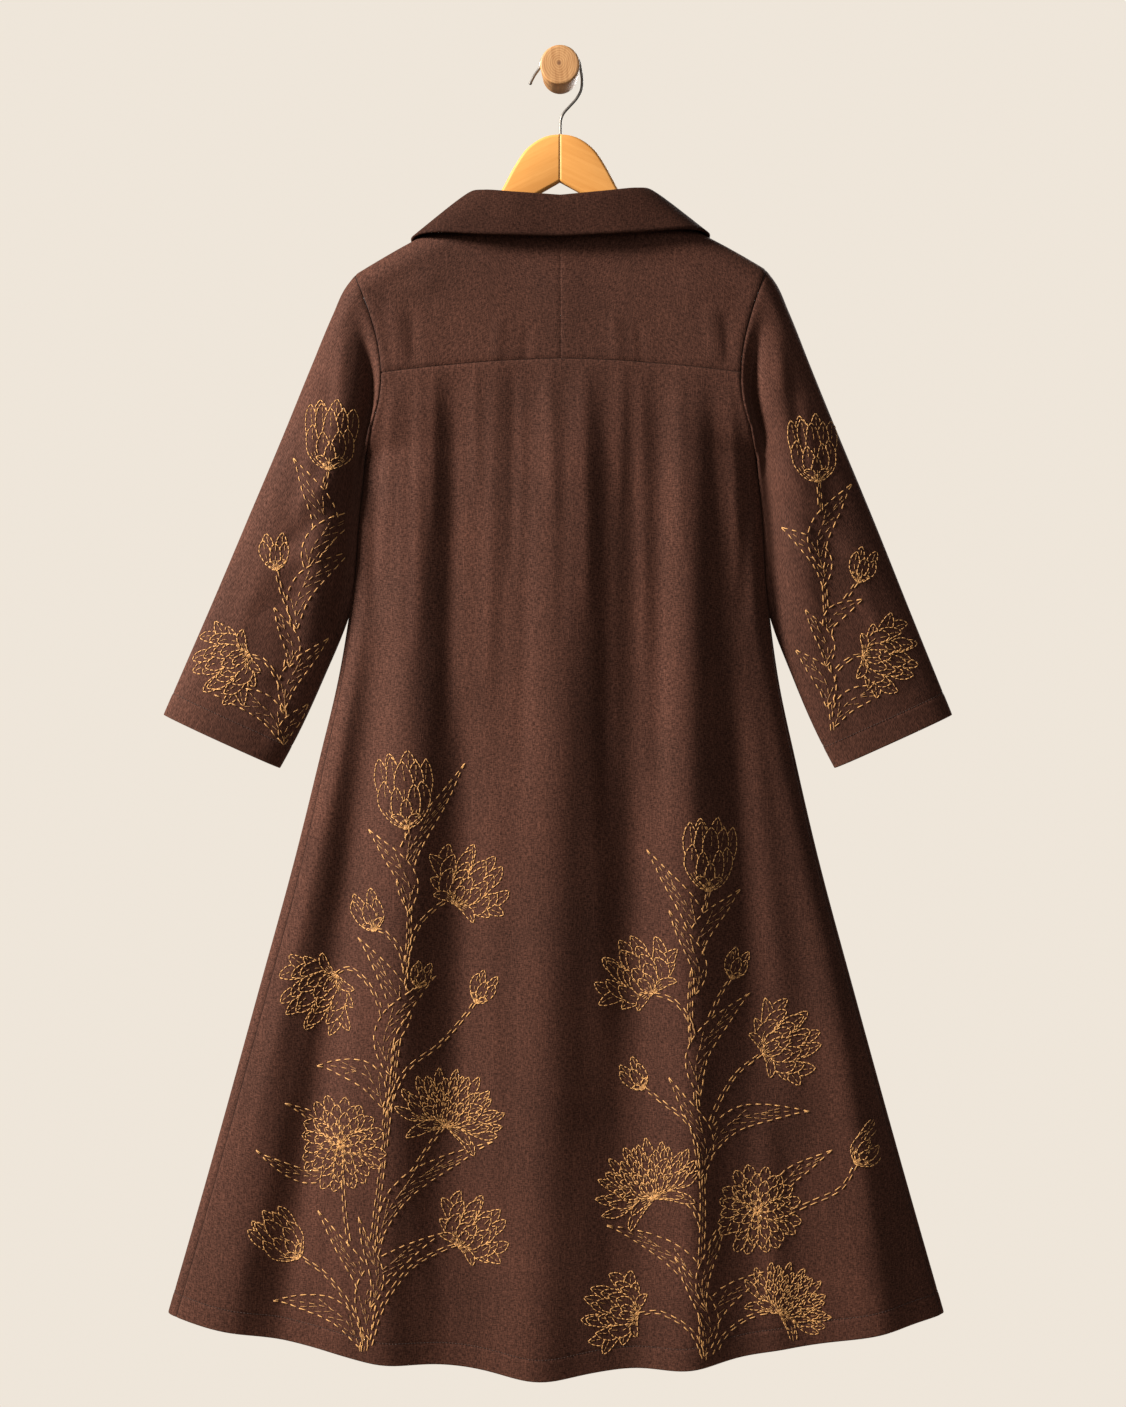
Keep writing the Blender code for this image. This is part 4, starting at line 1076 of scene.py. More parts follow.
def line_on(grid, sign, edge, band):
    """The places of a grid at a distance from one of its edges, and the cloth's normals there."""
    reach = edge_distances(grid)[edge]
    normal = normals_of(grid, sign)
    if edge in ("left", "right"):
        grid, reach, normal = grid.transpose(1, 0, 2), reach.T, normal.transpose(1, 0, 2)
    if edge in ("bottom", "right"):
        grid, reach, normal = grid[::-1], reach[::-1], normal[::-1]
    row = np.clip((reach < band).sum(axis=0), 1, len(grid) - 1)
    column = np.arange(grid.shape[1])
    near, far = reach[row - 1, column], reach[row, column]
    share = ((band - near) / np.maximum(far - near, 1e-9))[:, None]
    points = grid[row - 1, column] * (1 - share) + grid[row, column] * share
    return points, normal[row, column]


def even_cuts(points, normal, step, gap):
    """Cut a line into stitches: their starts, ends and normals."""
    run = running(np.linalg.norm(np.diff(points, axis=0), axis=1)) / MM
    starts = np.arange(gap, run[-1] - step, step)

    def at(where, values):
        return np.stack([np.interp(where, run, values[:, c]) for c in range(3)], axis=-1)

    return at(starts, points), at(starts + step - gap, points), at(starts, normal)


def machine_line(name, piece_name, lines):
    """Machine stitches along lines of one cloth piece, on its outer face."""
    _, grid, sign = cloth[piece_name]
    cuts = [even_cuts(*line_on(grid, sign, edge, band), SEWING_STEP, SEWING_GAP) for edge, band in lines]
    start, end, normal = (np.concatenate([cut[k] for cut in cuts]) for k in range(3))
    lift = normal * (CLOTH / 2 + SEWING_LIFT) * MM
    wide, high, shade = (np.full(len(start), value) for value in (SEWING_WIDE * MM, SEWING_HIGH * MM,
                                                                  SEWING_SHADE))
    made = stitches(name, start + lift, end + lift, normal, wide, high, shade, BROWN_THREAD)


machine_line("hem_stitches_back", "coat_back", (("bottom", HEM_BAND),))
for word in HANDS:
    machine_line(f"hem_stitches_front_{word}", f"coat_front_{word}",
                 (("bottom", HEM_BAND), ("left", FACING_STITCH)))
    machine_line(f"cuff_stitches_{word}", f"coat_sleeve_{word}", (("bottom", CUFF_BAND),))

# %% [markdown]
# The sprays are drawn before they are sewn. A point of the drawing is a complex number: its real
# part is x and its imaginary part the drop, both in millimetres. Complex numbers turn and stretch
# a motif by one multiplication, so a leaf or a petal is written once, lying along the real axis,
# and then set between any two points. A motif is a list of shapes from back to front. A shape is
# an outline with its strokes, and it hides what an earlier shape drew inside that outline, as the
# front petals of a bloom hide the ones behind them.

# %% Shapes of the motifs
def bowed(start, end, bow, count=26, wave=0.0):
    """start + (end − start) × (t + i·(4·bow·t·(1 − t) + wave·sin(2πt))): a run bowed to one side,
    with a wave that makes it an S."""
    t = np.linspace(0, 1, count)
    return start + (end - start) * (t + 1j * (4 * bow * t * (1 - t) + wave * np.sin(2 * np.pi * t)))


def through(points, count=90):
    """A smooth line through a few points, each as a pair of x and drop."""
    knots = [(k, *point) for k, point in enumerate(points)]
    x, drop = smooth_points(knots, np.linspace(0, len(points) - 1, count), (1, 2)).T
    return x + 1j * drop


def beside(line, offset):
    """The line moved sideways by an offset, which may change along it."""
    way = np.gradient(line)
    return line + 1j * way / np.abs(way) * offset


STEM_LAG = 5.6
STEM_TAPER = 0.62
THICK_STEM = 4.2
LEAF_FULLNESS = 0.56
VEIN_LEAN = 6
VEIN_REACH = 0.62


def stem(points, wide):
    """A stem: two rows of dashes that draw together toward its tip, one of them half a dash
    behind the other, and on a thick stem a darker line between."""
    line = through(points)
    half = wide / 2 * (1 - (1 - STEM_TAPER) * np.linspace(0, 1, len(line)))
    lag = max(1, round(STEM_LAG * len(line) / np.abs(np.diff(line)).sum()))
    strokes = [("long", beside(line, half)[lag:]), ("long", beside(line, -half)[:-lag])]
    return [(None, strokes + ([("rib", line)] if wide > THICK_STEM else []))]


def swelling(count, near, far):
    """How wide a leaf or petal is along its rib: t^near × (1 − t)^far, scaled to 1 at most."""
    t = np.linspace(0, 1, count)
    swell = t**near * (1 - t) ** far
    return swell / swell.max()


def leaf(base, tip, bow, wide, side=1):
    """A lance-shaped leaf: dashed sides, a rib, and close slanting veins on its shaded half."""
    rib = bowed(base, tip, bow, 40, 0.035 * np.sign(bow))
    swell = LEAF_FULLNESS * wide * swelling(40, 0.85, 1.3)
    one, other = beside(rib, swell * side), beside(rib, -swell * side)
    strokes = [("dash", one), ("dash", other), ("rib", rib[1:34])]
    # a longer leaf has more veins, because its points lie further apart
    step = max(4, round(75 / max(np.abs(tip - base) / 16, 2.5) / 2))
    for k in range(4, 27, step):
        on = k + VEIN_LEAN + k % 3
        low, high = rib[k] * 0.85 + one[k] * 0.15, rib[on] * 0.25 + one[on] * 0.75
        strokes.append(("shade", np.linspace(low, high, 4)))
        if (k - 4) % (2 * step) == 0:
            on = k + VEIN_LEAN
            strokes.append(("vein", np.linspace(rib[k], rib[on] * 0.35 + other[on] * 0.65, 4)))
    return [(np.concatenate([one, other[::-1]]), strokes)]


def petal(base, tip, wide, bow, veins):
    """A petal with a slight point: two bright sides with a ruffle, darker lines that rise from its
    base, and a short one that runs down from its tip."""
    rib = bowed(base, tip, bow, 18)
    ruffle = 1 + 0.10 * np.sin(8.5 * np.linspace(0, 1, 18) + 0.37 * abs(tip - base) + 1.3 * base.real)
    swell = wide / 2 * swelling(18, 1.0, 0.72) * ruffle
    one, other = beside(rib, swell), beside(rib, -swell)
    strokes = [("fine", one), ("fine", other)]
    for k in range(veins):
        off = (2 * k + 1) / veins - 1
        last = 4 + int(12 * VEIN_REACH * (1 - 0.45 * abs(off)) * (1 - 0.25 * (k % 2)))
        strokes.append(("vein", beside(rib, swell * off * 0.85)[1:last]))
    strokes.append(("vein", beside(rib, 0.1 * swell)[12:17]))
    return [(np.concatenate([one, other[::-1]]), strokes)]


def turned(angle):
    """The direction at an angle in degrees, from straight up and clockwise."""
    return -1j * np.exp(1j * np.radians(angle))


def petals(base, long, angle, rows):
    """Petals from one base, back to front. A row gives how many there are, the leans of the first
    and the last in degrees, their length and width as shares, their bow, and how far from the
    base they start."""
    shapes = []
    for count, first, last, length, wide, bow, start in rows:
        leans = np.linspace(first, last, count) if count > 1 else [first]
        order = sorted(range(count), key=lambda k: -abs(leans[k]))
        for k in order:
            uneven = 1 + 0.07 * np.sin(4.1 * k + 9 * length)
            way = turned(angle + leans[k] + 3 * np.sin(2.3 * k + 5 * length))
            bend = bow * np.clip(leans[k] / 30, -1, 1)
            shapes += petal(base + long * start * way, base + long * length * uneven * way,
                            wide * long, bend, 3 if wide < 0.2 else 5)
    return shapes


# count, first lean, last lean, length, width, bow, start
TULIP = (
    (3, -8, 9, 1.0, 0.19, 0.05, 0.38), (2, -16, 15, 0.95, 0.21, 0.14, 0.04),
    (2, -7, 8, 0.92, 0.22, 0.09, 0.0), (2, -21, 20, 0.70, 0.19, 0.22, 0.0),
    (1, 1, 1, 0.84, 0.24, 0.03, 0.0), (2, -12, 13, 0.60, 0.18, 0.16, 0.0),
    (1, -2, -2, 0.42, 0.15, 0.03, 0.0), (2, -50, 48, 0.26, 0.09, -0.2, 0.0),
)
PEONY = (
    (3, -15, 18, 1.0, 0.20, 0.06, 0.42), (5, -38, 36, 0.94, 0.22, 0.14, 0.28),
    (2, -60, 64, 0.86, 0.22, -0.10, 0.10), (5, -34, 37, 0.78, 0.23, 0.18, 0.16),
    (2, -78, 74, 0.62, 0.20, -0.10, 0.0), (4, -40, 42, 0.62, 0.24, 0.22, 0.05),
    (3, -20, 19, 0.50, 0.22, 0.14, 0.02), (2, -104, 100, 0.40, 0.14, -0.18, 0.0),
    (2, -12, 13, 0.34, 0.16, 0.10, 0.0),
)
MUM = (
    (11, -64, 66, 1.0, 0.15, 0.06, 0.48), (12, -82, 80, 0.90, 0.155, 0.05, 0.34),
    (10, -72, 70, 0.77, 0.155, 0.06, 0.22), (4, -120, 117, 0.70, 0.17, -0.13, 0.08),
    (9, -62, 60, 0.63, 0.145, 0.06, 0.12), (6, -106, 102, 0.52, 0.15, -0.11, 0.0),
    (7, -48, 50, 0.49, 0.135, 0.06, 0.04), (5, -30, 28, 0.34, 0.11, 0.04, 0.0),
)
BUD = (
    (2, -9, 10, 1.0, 0.28, 0.08, 0.1), (2, -17, 18, 0.84, 0.28, 0.16, 0.0),
    (1, 2, 2, 0.72, 0.30, 0.0, 0.0), (2, -55, 52, 0.36, 0.13, -0.2, 0.0),
)
# inner and outer radius as shares, petals, petal width as a share of the radius
DAHLIA_RINGS = ((0.46, 1.0, 16, 0.27), (0.32, 0.84, 15, 0.25), (0.20, 0.66, 12, 0.22),
                (0.10, 0.47, 9, 0.18), (0.02, 0.27, 6, 0.13))


def dahlia(x, drop, radius, lean, squash):
    """A bloom seen from above: rings of pointed petals, the outer ring behind the inner ones."""
    shapes = []
    for ring, (inner, outer, count, wide) in enumerate(DAHLIA_RINGS):
        for k in range(count):
            way = turned(lean + 360 * (k + 0.5 * (ring % 2)) / count + 4 * np.sin(3.3 * k + ring))
            way = radius * (way.real + 1j * way.imag * squash)
            reach = outer * (1 + 0.06 * np.sin(5.1 * k + ring))
            shapes += petal(x + 1j * drop + way * inner, x + 1j * drop + way * reach, wide * radius,
                            0.05 * np.sin(2.1 * k), 3)
    return shapes


BLOOMS = {"tulip": TULIP, "peony": PEONY, "mum": MUM, "bud": BUD}
print("shapes in a dahlia:", len(dahlia(0, 0, 40, 0, 1)), "and in a mum:", len(petals(0j, 50, 0, MUM)))

# %% [markdown]
# The order of work on real embroidery is stems first, then leaves, then blooms, and the tables
# below keep it. Nearly every bloom has a stem of its own, which leaves the thick one or runs down
# beside it to the foot of the spray, as stems bundle on a real plant. They are ordinary garden
# flowers, and the layout is a free one: two sprays rise from the hem and one from each cuff.
# Distances are from the coat's middle line and the peg, like every table here.

# %% Where the sprays grow
MAIN_STEM = 5.8
SIDE_STEM = 4.0
# stems: points from the foot up, as x and drop
# leaves: x and drop of the foot, x and drop of the tip, bow, width, and the shaded side
# blooms: kind, x and drop of the base, length, angle in degrees from straight up and clockwise
# dahlias: x and drop of the middle, radius, lean in degrees, squash
LEFT_SKIRT = {
    "stems": (
        ((-190, 1284), (-186, 1215), (-176, 1130), (-164, 1030), (-152, 930), (-146, 850), (-149, 762)),
        ((-160, 985), (-152, 915), (-140, 866), (-118, 842), (-100, 836)),
        ((-150, 905), (-156, 884), (-170, 868), (-180, 866)),
        ((-170, 1060), (-166, 985), (-180, 930), (-204, 906), (-222, 912)),
        ((-158, 960), (-148, 932), (-138, 922)),
        ((-170, 1050), (-150, 1006), (-116, 980), (-90, 952), (-80, 938)),
        ((-186, 1240), (-176, 1180), (-158, 1130), (-132, 1088), (-112, 1062)),
        ((-192, 1280), (-196, 1220), (-208, 1160), (-212, 1112)),
        ((-192, 1284), (-200, 1246), (-226, 1212), (-254, 1194)),
        ((-186, 1284), (-172, 1238), (-146, 1202), (-112, 1184), (-98, 1180)),
    ),
    "leaves": (
        (-146, 850, -92, 700, -0.12, 17, 1), (-148, 848, -188, 766, 0.14, 17, -1),
        (-168, 985, -198, 874, 0.20, 20, -1), (-164, 1010, -120, 912, -0.20, 19, 1),
        (-172, 1042, -240, 1004, 0.24, 22, 1), (-214, 1112, -272, 1040, 0.20, 13, -1),
        (-216, 1102, -300, 1086, -0.20, 12, 1), (-176, 1176, -62, 1076, -0.14, 18, 1),
        (-188, 1262, -238, 1146, 0.12, 17, -1), (-194, 1280, -284, 1238, 0.20, 20, -1),
        (-184, 1272, -112, 1168, -0.24, 22, 1), (-184, 1240, -196, 1150, 0.10, 12, 1),
    ),
    "blooms": (
        ("tulip", -149, 766, 76, -3), ("peony", -102, 842, 62, 36), ("bud", -180, 868, 42, -20),
        ("peony", -220, 912, 62, -132), ("bud", -138, 924, 27, 14), ("bud", -80, 940, 34, 26),
        ("mum", -110, 1064, 58, 20), ("tulip", -256, 1196, 60, -40), ("peony", -98, 1182, 56, 44),
    ),
    "dahlias": ((-214, 1080, 44, 6, 1.08),),
}
RIGHT_SKIRT = {
    "stems": (
        ((146, 1298), (143, 1220), (145, 1130), (139, 1030), (133, 940), (140, 880), (151, 826)),
        ((137, 1000), (134, 960), (118, 936), (96, 930)),
        ((141, 1040), (144, 980), (158, 940), (174, 914)),
        ((146, 1120), (152, 1060), (176, 1014), (206, 990)),
        ((142, 1100), (134, 1060), (110, 1040), (88, 1024)),
        ((144, 1160), (134, 1138), (112, 1128), (96, 1128)),
        ((146, 1210), (156, 1170), (176, 1152), (188, 1150)),
        ((214, 1156), (252, 1140), (284, 1124), (300, 1098)),
        ((147, 1290), (134, 1262), (106, 1246), (82, 1248)),
        ((152, 1298), (168, 1268), (196, 1250), (222, 1246)),
    ),
    "leaves": (
        (135, 905, 90, 786, 0.14, 18, -1), (140, 900, 184, 826, -0.14, 18, 1),
        (138, 930, 112, 846, 0.12, 14, -1), (143, 1030, 194, 930, -0.18, 20, 1),
        (147, 1098, 254, 1048, -0.20, 20, 1), (142, 1112, 112, 1012, 0.14, 15, -1),
        (144, 1252, 50, 1160, 0.20, 20, -1), (150, 1286, 218, 1204, -0.20, 19, 1),
        (146, 1288, 118, 1190, 0.14, 16, -1), (216, 1150, 276, 1086, -0.14, 14, 1),
        (148, 1240, 168, 1150, -0.08, 12, 1),
    ),
    "blooms": (
        ("tulip", 151, 828, 72, 4), ("peony", 98, 930, 62, -38), ("bud", 174, 916, 32, 22),
        ("peony", 206, 990, 60, 66), ("bud", 88, 1026, 34, -34), ("mum", 98, 1134, 58, -22),
        ("tulip", 298, 1100, 50, 44), ("peony", 82, 1250, 56, -74), ("mum", 222, 1248, 50, 40),
    ),
    "dahlias": ((201, 1146, 43, 12, 1.04),),
}
LEFT_SLEEVE = {
    "stems": (
        ((-276, 682), (-274, 616), (-262, 540), (-244, 466), (-233, 408)),
        ((-266, 588), (-268, 556), (-278, 530), (-284, 506)),
        ((-277, 668), (-276, 630), (-292, 600), (-308, 592)),
    ),
    "leaves": (
        (-246, 496, -268, 394, 0.16, 22, -1), (-250, 514, -198, 442, -0.16, 20, 1),
        (-262, 566, -210, 486, -0.18, 21, 1), (-274, 646, -232, 574, -0.12, 17, 1),
        (-277, 680, -354, 628, 0.20, 22, -1), (-270, 604, -286, 544, 0.12, 15, -1),
        (-276, 682, -252, 640, -0.10, 13, 1),
    ),
    "blooms": (
        ("tulip", -232, 408, 70, 4), ("bud", -284, 508, 38, -4), ("peony", -310, 590, 58, -112),
    ),
    "dahlias": (),
}
RIGHT_SLEEVE = {
    "stems": (
        ((278, 668), (271, 610), (266, 540), (262, 480), (257, 418)),
        ((269, 590), (274, 556), (290, 530), (298, 518)),
        ((273, 640), (277, 610), (294, 594), (306, 592)),
    ),
    "leaves": (
        (263, 524, 222, 464, 0.18, 18, -1), (263, 506, 292, 420, -0.16, 20, 1),
        (270, 644, 238, 586, 0.15, 17, -1), (267, 572, 304, 536, -0.16, 15, 1),
        (278, 664, 340, 624, -0.18, 18, 1), (268, 604, 246, 546, 0.12, 14, -1),
    ),
    "blooms": (
        ("tulip", 257, 420, 68, -5), ("bud", 298, 520, 36, 18), ("peony", 304, 592, 56, 96),
    ),
    "dahlias": (),
}


def drawn(spray):
    """Every shape of a spray, back to front. Its first stem is the thick one."""
    shapes = []
    for k, points in enumerate(spray["stems"]):
        shapes += stem(points, MAIN_STEM if k == 0 else SIDE_STEM)
    for x0, drop0, x1, drop1, bow, wide, side in spray["leaves"]:
        shapes += leaf(x0 + 1j * drop0, x1 + 1j * drop1, bow, wide, side)
    for row in spray["dahlias"]:
        shapes += dahlia(*row)
    for kind, x, drop, long, angle in spray["blooms"]:
        shapes += petals(x + 1j * drop, long, angle, BLOOMS[kind])
    return shapes


SPRAYS = {"left_skirt": LEFT_SKIRT, "right_skirt": RIGHT_SKIRT, "left_sleeve": LEFT_SLEEVE,
          "right_sleeve": RIGHT_SLEEVE}
drawings = {name: drawn(spray) for name, spray in SPRAYS.items()}
print("shapes:", {name: len(shapes) for name, shapes in drawings.items()})

# %% [markdown]
# Each line is cut into stitches, with a little of the unevenness of a hand, and then laid on the
# cloth. The drawing is flat and the cloth isn't, so the place right behind a point of the drawing
# has to be found on a surface that is given by two parameters. Newton's method does that for all
# points at once: it measures the error, and how each parameter moves the place, and corrects both.
# Before that, each stitch whose middle lies in a later shape is left out.

# %% Sew the sprays
# kind of stitch: length, gap, width, height, darkest and lightest shade
THREADS = {
    "dash": (7.4, 2.5, 1.12, 0.85, 0.52, 0.92),
    "long": (8.6, 2.4, 1.08, 0.80, 0.44, 0.86),
    "rib": (7.4, 2.8, 0.80, 0.60, 0.20, 0.44),
    "fine": (4.9, 0.15, 0.92, 0.72, 0.62, 1.0),
    "vein": (5.6, 0.5, 0.62, 0.50, 0.34, 0.68),
    "shade": (7.2, 0.7, 0.62, 0.45, 0.18, 0.50),
}
# how much stitches differ: their length and start as shares, their width, and their ends in mm
LENGTH_SPREAD = (0.86, 1.04)
START_SPREAD = (0.0, 0.08)
WIDTH_SPREAD = (0.88, 1.12)
PLACE_SPREAD = 0.16
# a stitch is left out if it is shorter, missed its place by more, or was stretched by more
SHORTEST = 0.9
MOST_MISSED = 0.6
MOST_STRETCHED = 3.0
NEWTON_ROUNDS = 22
NEWTON_LIMIT = 40
THREAD_RAISE = 0.1
hand_of_sewer = np.random.default_rng(7)


def cut_stroke(line, kind):
    """Starts and ends of the stitches along one line, with uneven lengths."""
    length, gap = THREADS[kind][:2]
    run = running(np.abs(np.diff(line)))
    count = max(1, round((run[-1] + gap) / (length + gap)))
    step = (run[-1] + gap) / count
    starts = np.arange(count) * step
    ends = starts + (step - gap) * hand_of_sewer.uniform(*LENGTH_SPREAD, count)
    starts = starts + hand_of_sewer.uniform(*START_SPREAD, count) * step * (np.arange(count) > 0)
    both = np.clip(np.stack([starts, ends]), 0, run[-1])
    return np.interp(both, run, line.real) + 1j * np.interp(both, run, line.imag)


def within(points, outline):
    """Which points lie inside a closed outline: where it turns once round them."""
    from_point = outline[None, :] - points[:, None]
    turns = np.angle(np.roll(from_point, -1, axis=1) / from_point).sum(axis=1)
    return np.abs(turns) > np.pi


def cut_shapes(shapes):
    """All stitches of a drawing that aren't hidden by a later shape, and their kinds."""
    kinds, cuts, layers = [], [], []
    for layer, (_, strokes) in enumerate(shapes):
        for kind, line in strokes:
            cut = cut_stroke(line, kind)
            cuts.append(cut)
            kinds += [kind] * cut.shape[1]
            layers += [layer] * cut.shape[1]
    cut, layers = np.concatenate(cuts, axis=1), np.array(layers)
    seen = np.ones(len(layers), bool)
    middle = cut.mean(axis=0)
    for layer, (outline, _) in enumerate(shapes):
        if outline is None:
            continue
        centre = outline.mean()
        reach = np.abs(outline - centre).max()
        near = np.flatnonzero((layers < layer) & seen & (np.abs(middle - centre) < reach))
        seen[near[within(middle[near] + 1e-6, outline)]] = False
    return cut[:, seen], np.array(kinds)[seen]


def lay_on(surface, x, drop, a, b, step_a, step_b):
    """Points of a surface whose x and drop are given, the normals there, and how far they missed.

    surface(a, b) gives x, y and drop. The normal is the cross product of the two differences.
    """
    for _ in range(NEWTON_ROUNDS):
        px, _, pd = surface(a, b)
        ax, _, ad = surface(a + step_a, b)
        bx, _, bd = surface(a, b + step_b)
        det = (ax - px) * (bd - pd) - (bx - px) * (ad - pd)
        det = np.where(np.abs(det) < 1e-9, 1e-9, det)
        more_a = ((x - px) * (bd - pd) - (drop - pd) * (bx - px)) / det
        more_b = ((drop - pd) * (ax - px) - (x - px) * (ad - pd)) / det
        a = a + np.clip(more_a, -NEWTON_LIMIT, NEWTON_LIMIT) * step_a
        b = b + np.clip(more_b, -NEWTON_LIMIT, NEWTON_LIMIT) * step_b
    point = place(*surface(a, b))
    normal = np.cross(place(*surface(a + step_a, b)) - point, place(*surface(a, b + step_b)) - point)
    normal = unit(normal)
    last_x, _, last_drop = surface(a, b)
    return point, normal * -np.sign(normal[..., 1:2]), np.hypot(x - last_x, drop - last_drop)


def sew_spray(name, surface, a, b, step_a, step_b, kept):
    """All stitches of a spray, laid on their surface and joined in one mesh. a(cut) and b(cut)
    guess a stitch's place on the surface, and kept(cut) says where the cloth may be sewn on."""
    cut, kinds = cut_shapes(drawings[name])
    off_x, off_drop = (hand_of_sewer.normal(0, PLACE_SPREAD, cut.shape) for _ in range(2))
    cut = cut + off_x + 1j * off_drop
    point, normal, missed = lay_on(surface, cut.real, cut.imag, a(cut), b(cut), step_a, step_b)
    length = np.abs(cut[1] - cut[0])
    laid = (missed.max(axis=0) < MOST_MISSED) & (length > SHORTEST) & kept(cut).all(axis=0)
    laid &= np.linalg.norm(point[1] - point[0], axis=-1) < MOST_STRETCHED * length * MM
    sizes = np.array([THREADS[kind][2:] for kind in kinds])[laid]
    shade = sizes[:, 2] + (sizes[:, 3] - sizes[:, 2]) * hand_of_sewer.uniform(0, 1, len(sizes))
    wide = sizes[:, 0] * hand_of_sewer.uniform(*WIDTH_SPREAD, len(sizes)) * MM
    high = sizes[:, 1] * MM
    up = unit((normal[0] + normal[1])[laid])
    lift = up * (CLOTH / 2 * MM + THREAD_RAISE * high[:, None])
    piece = stitches(f"embroidery_{name}", point[0][laid] + lift, point[1][laid] + lift, up, wide, high,
                     shade, GOLD_THREAD)
    print(name, "left out:", int((~laid).sum()))


def on_skirt(cut):
    """Not over the side seams, nor off the hem."""
    across = cut.real / body_half_width(cut.imag - 30)
    return (np.abs(across) < 0.975) & (cut.imag < HEM_EDGE_DROP - 4 + sweep(HEM_EDGE_DROP, across, cut.real))


def on_sleeve(cut):
    """Not off the cuff, which runs straight between its two ends."""
    outer, inner = SLEEVE_OUTER[-1], SLEEVE_INNER[-1]
    share = (np.abs(cut.real) - inner[1]) / (outer[1] - inner[1])
    sideways = body_half_width(np.minimum(cut.imag, 600)) + 9
    return (cut.imag < inner[0] + (outer[0] - inner[0]) * share - 3) & (np.abs(cut.real) > sideways)


def sleeve_back(hand):
    """The back half of a sleeve as a surface of turn and share of the length."""
    return lambda turn, v: sleeve_surface(hand, np.clip(turn, 0.02, np.pi - 0.02), np.clip(v, 0, 1))


for word, hand in HANDS.items():
    sew_spray(f"{word}_skirt", back_surface, lambda cut: cut.real / body_half_width(cut.imag),
              lambda cut: cut.imag - 25, 0.001, 0.5, on_skirt)
    sew_spray(f"{word}_sleeve", sleeve_back(hand), lambda cut: np.full(cut.shape, np.pi / 2),
              lambda cut: np.clip((cut.imag - 300) / 380, 0.05, 0.98), 0.002, 0.001, on_sleeve)

# %% [markdown]
# The hanger is two boards of honey-coloured wood, glued in the middle so that their grain meets
# in a chevron. A board is a rounded rectangle carried along the arm: at each station its top and
# its underside come from short tables, and its edges are rounded by the same radius whatever the
# slope. Varnish is a clear coat over the grain, which is noise stretched along each arm.

# %% Hanger boards
WOOD_THICKNESS = 12.0
WOOD_ROUND = 3.6
WOOD_ARM_END = 196.0
# each board reaches this far past the middle, so that no light shows through the glued joint
WOOD_JOINT = -0.05
TILT_UNDER = -0.013
WOOD_UNDER_RIDGE = 2.1
NECK_CLEARANCE = 2.0
# x, drop of the hump's top; x, drop of the underside
HUMP = ((0, 66), (12, 67.6), (24, 73), (37, 84.5), (47, 100), (60, 124), (69, 137), (75, 143.5))
UNDERSIDE = ((0, 114), (30, 131), (80, 163), (120, 178), (160, 197), (196, 219))
GRAIN_TURN = 0.45


def board_top(hand, x):
    """The hump by the neck, then the line just under the shoulder ridge with its tilt."""
    under_cloth = WOOD_UNDER_RIDGE + NECK_CLEARANCE * np.clip(1 - (x - NECK_HALF) / 116, 0, 1) ** 4
    ridge = shoulder_drop(x) - TILT * hand * x / 150.0 * (1 - ease((shoulder_drop(x) - 180) / 150.0))
    return np.where(x < 75, smooth_table(HUMP, x, 1), ridge + under_cloth)


def board_grid(hand):
    """Rings round the arm, from the glued joint to the rounded tip. A ring is a small circle's
    cosine and sine, pushed out to the four corners of the board's section."""
    x = WOOD_JOINT + (WOOD_ARM_END - WOOD_JOINT) * np.linspace(0, 1, 90)[:, None]
    top = board_top(hand, x)
    under = np.maximum(smooth_table(UNDERSIDE, x, 1) + TILT_UNDER * hand * x, top + 13)
    slope = np.gradient(top[:, 0], x[:, 0])[:, None]
    end = 0.3 + 0.7 * round_over((WOOD_ARM_END + 1.5 - x) / 9.0)
    half_high = (under - top) / 2 * end
    half_wide = WOOD_THICKNESS / 2 * end
    upright = np.minimum(WOOD_ROUND * np.sqrt(1 + slope**2), 0.9 * half_high)
    inward = np.minimum(WOOD_ROUND, 0.9 * half_wide)
    corner = 2 * np.pi * (np.arange(33) + 0.5) / 32
    y = inward * np.cos(corner) + (half_wide - inward) * np.sign(np.cos(corner))
    up = upright * np.sin(corner) + (half_high - upright) * np.sign(np.sin(corner))
    return np.stack([hand * x + 0 * y, HANG_Y + y, up - (under + top) / 2], axis=-1) * MM


def wood_material(name, turn):
    """Honey-coloured grain as noise stretched along one direction, with darker lines and fine
    pores, under varnish. turn lays the grain along the board."""
    material, tree, shader = principled(name)
    spot = add_node(tree, "TexCoord").outputs["Object"]
    lying = add_node(tree, "Mapping", {"Vector": spot, "Rotation": turn}).outputs[0]
    broad = stretched_noise(tree, lying, (9, 60, 60), 2.0, "3D")
    lines = stretched_noise(tree, lying, (14, 420, 420), 3.0, "3D")
    pores = stretched_noise(tree, lying, (90, 2200, 2200), 1.0, "3D")
    tone = weighted(tree, broad, 0.6, lines, 0.4)
    tone = maths(tree, "SUBTRACT", tone, between(tree, pores, 0.60, 0.75, 0.0, 0.10))
    colour = blend_colours(tree, between(tree, tone, 0.36, 0.64, 0.0, 1.0), (0.70, 0.305, 0.068, 1),
                           (0.82, 0.39, 0.103, 1))
    set_inputs(tree, shader, {
        "Base Color": colour, "Roughness": between(tree, tone, 0.3, 0.7, 0.58, 0.46),
        "Normal": relief(tree, 0.25, 0.0003, tone), "Specular IOR Level": 0.3, "Coat Weight": 0.06,
        "Coat Roughness": 0.38})
    return material


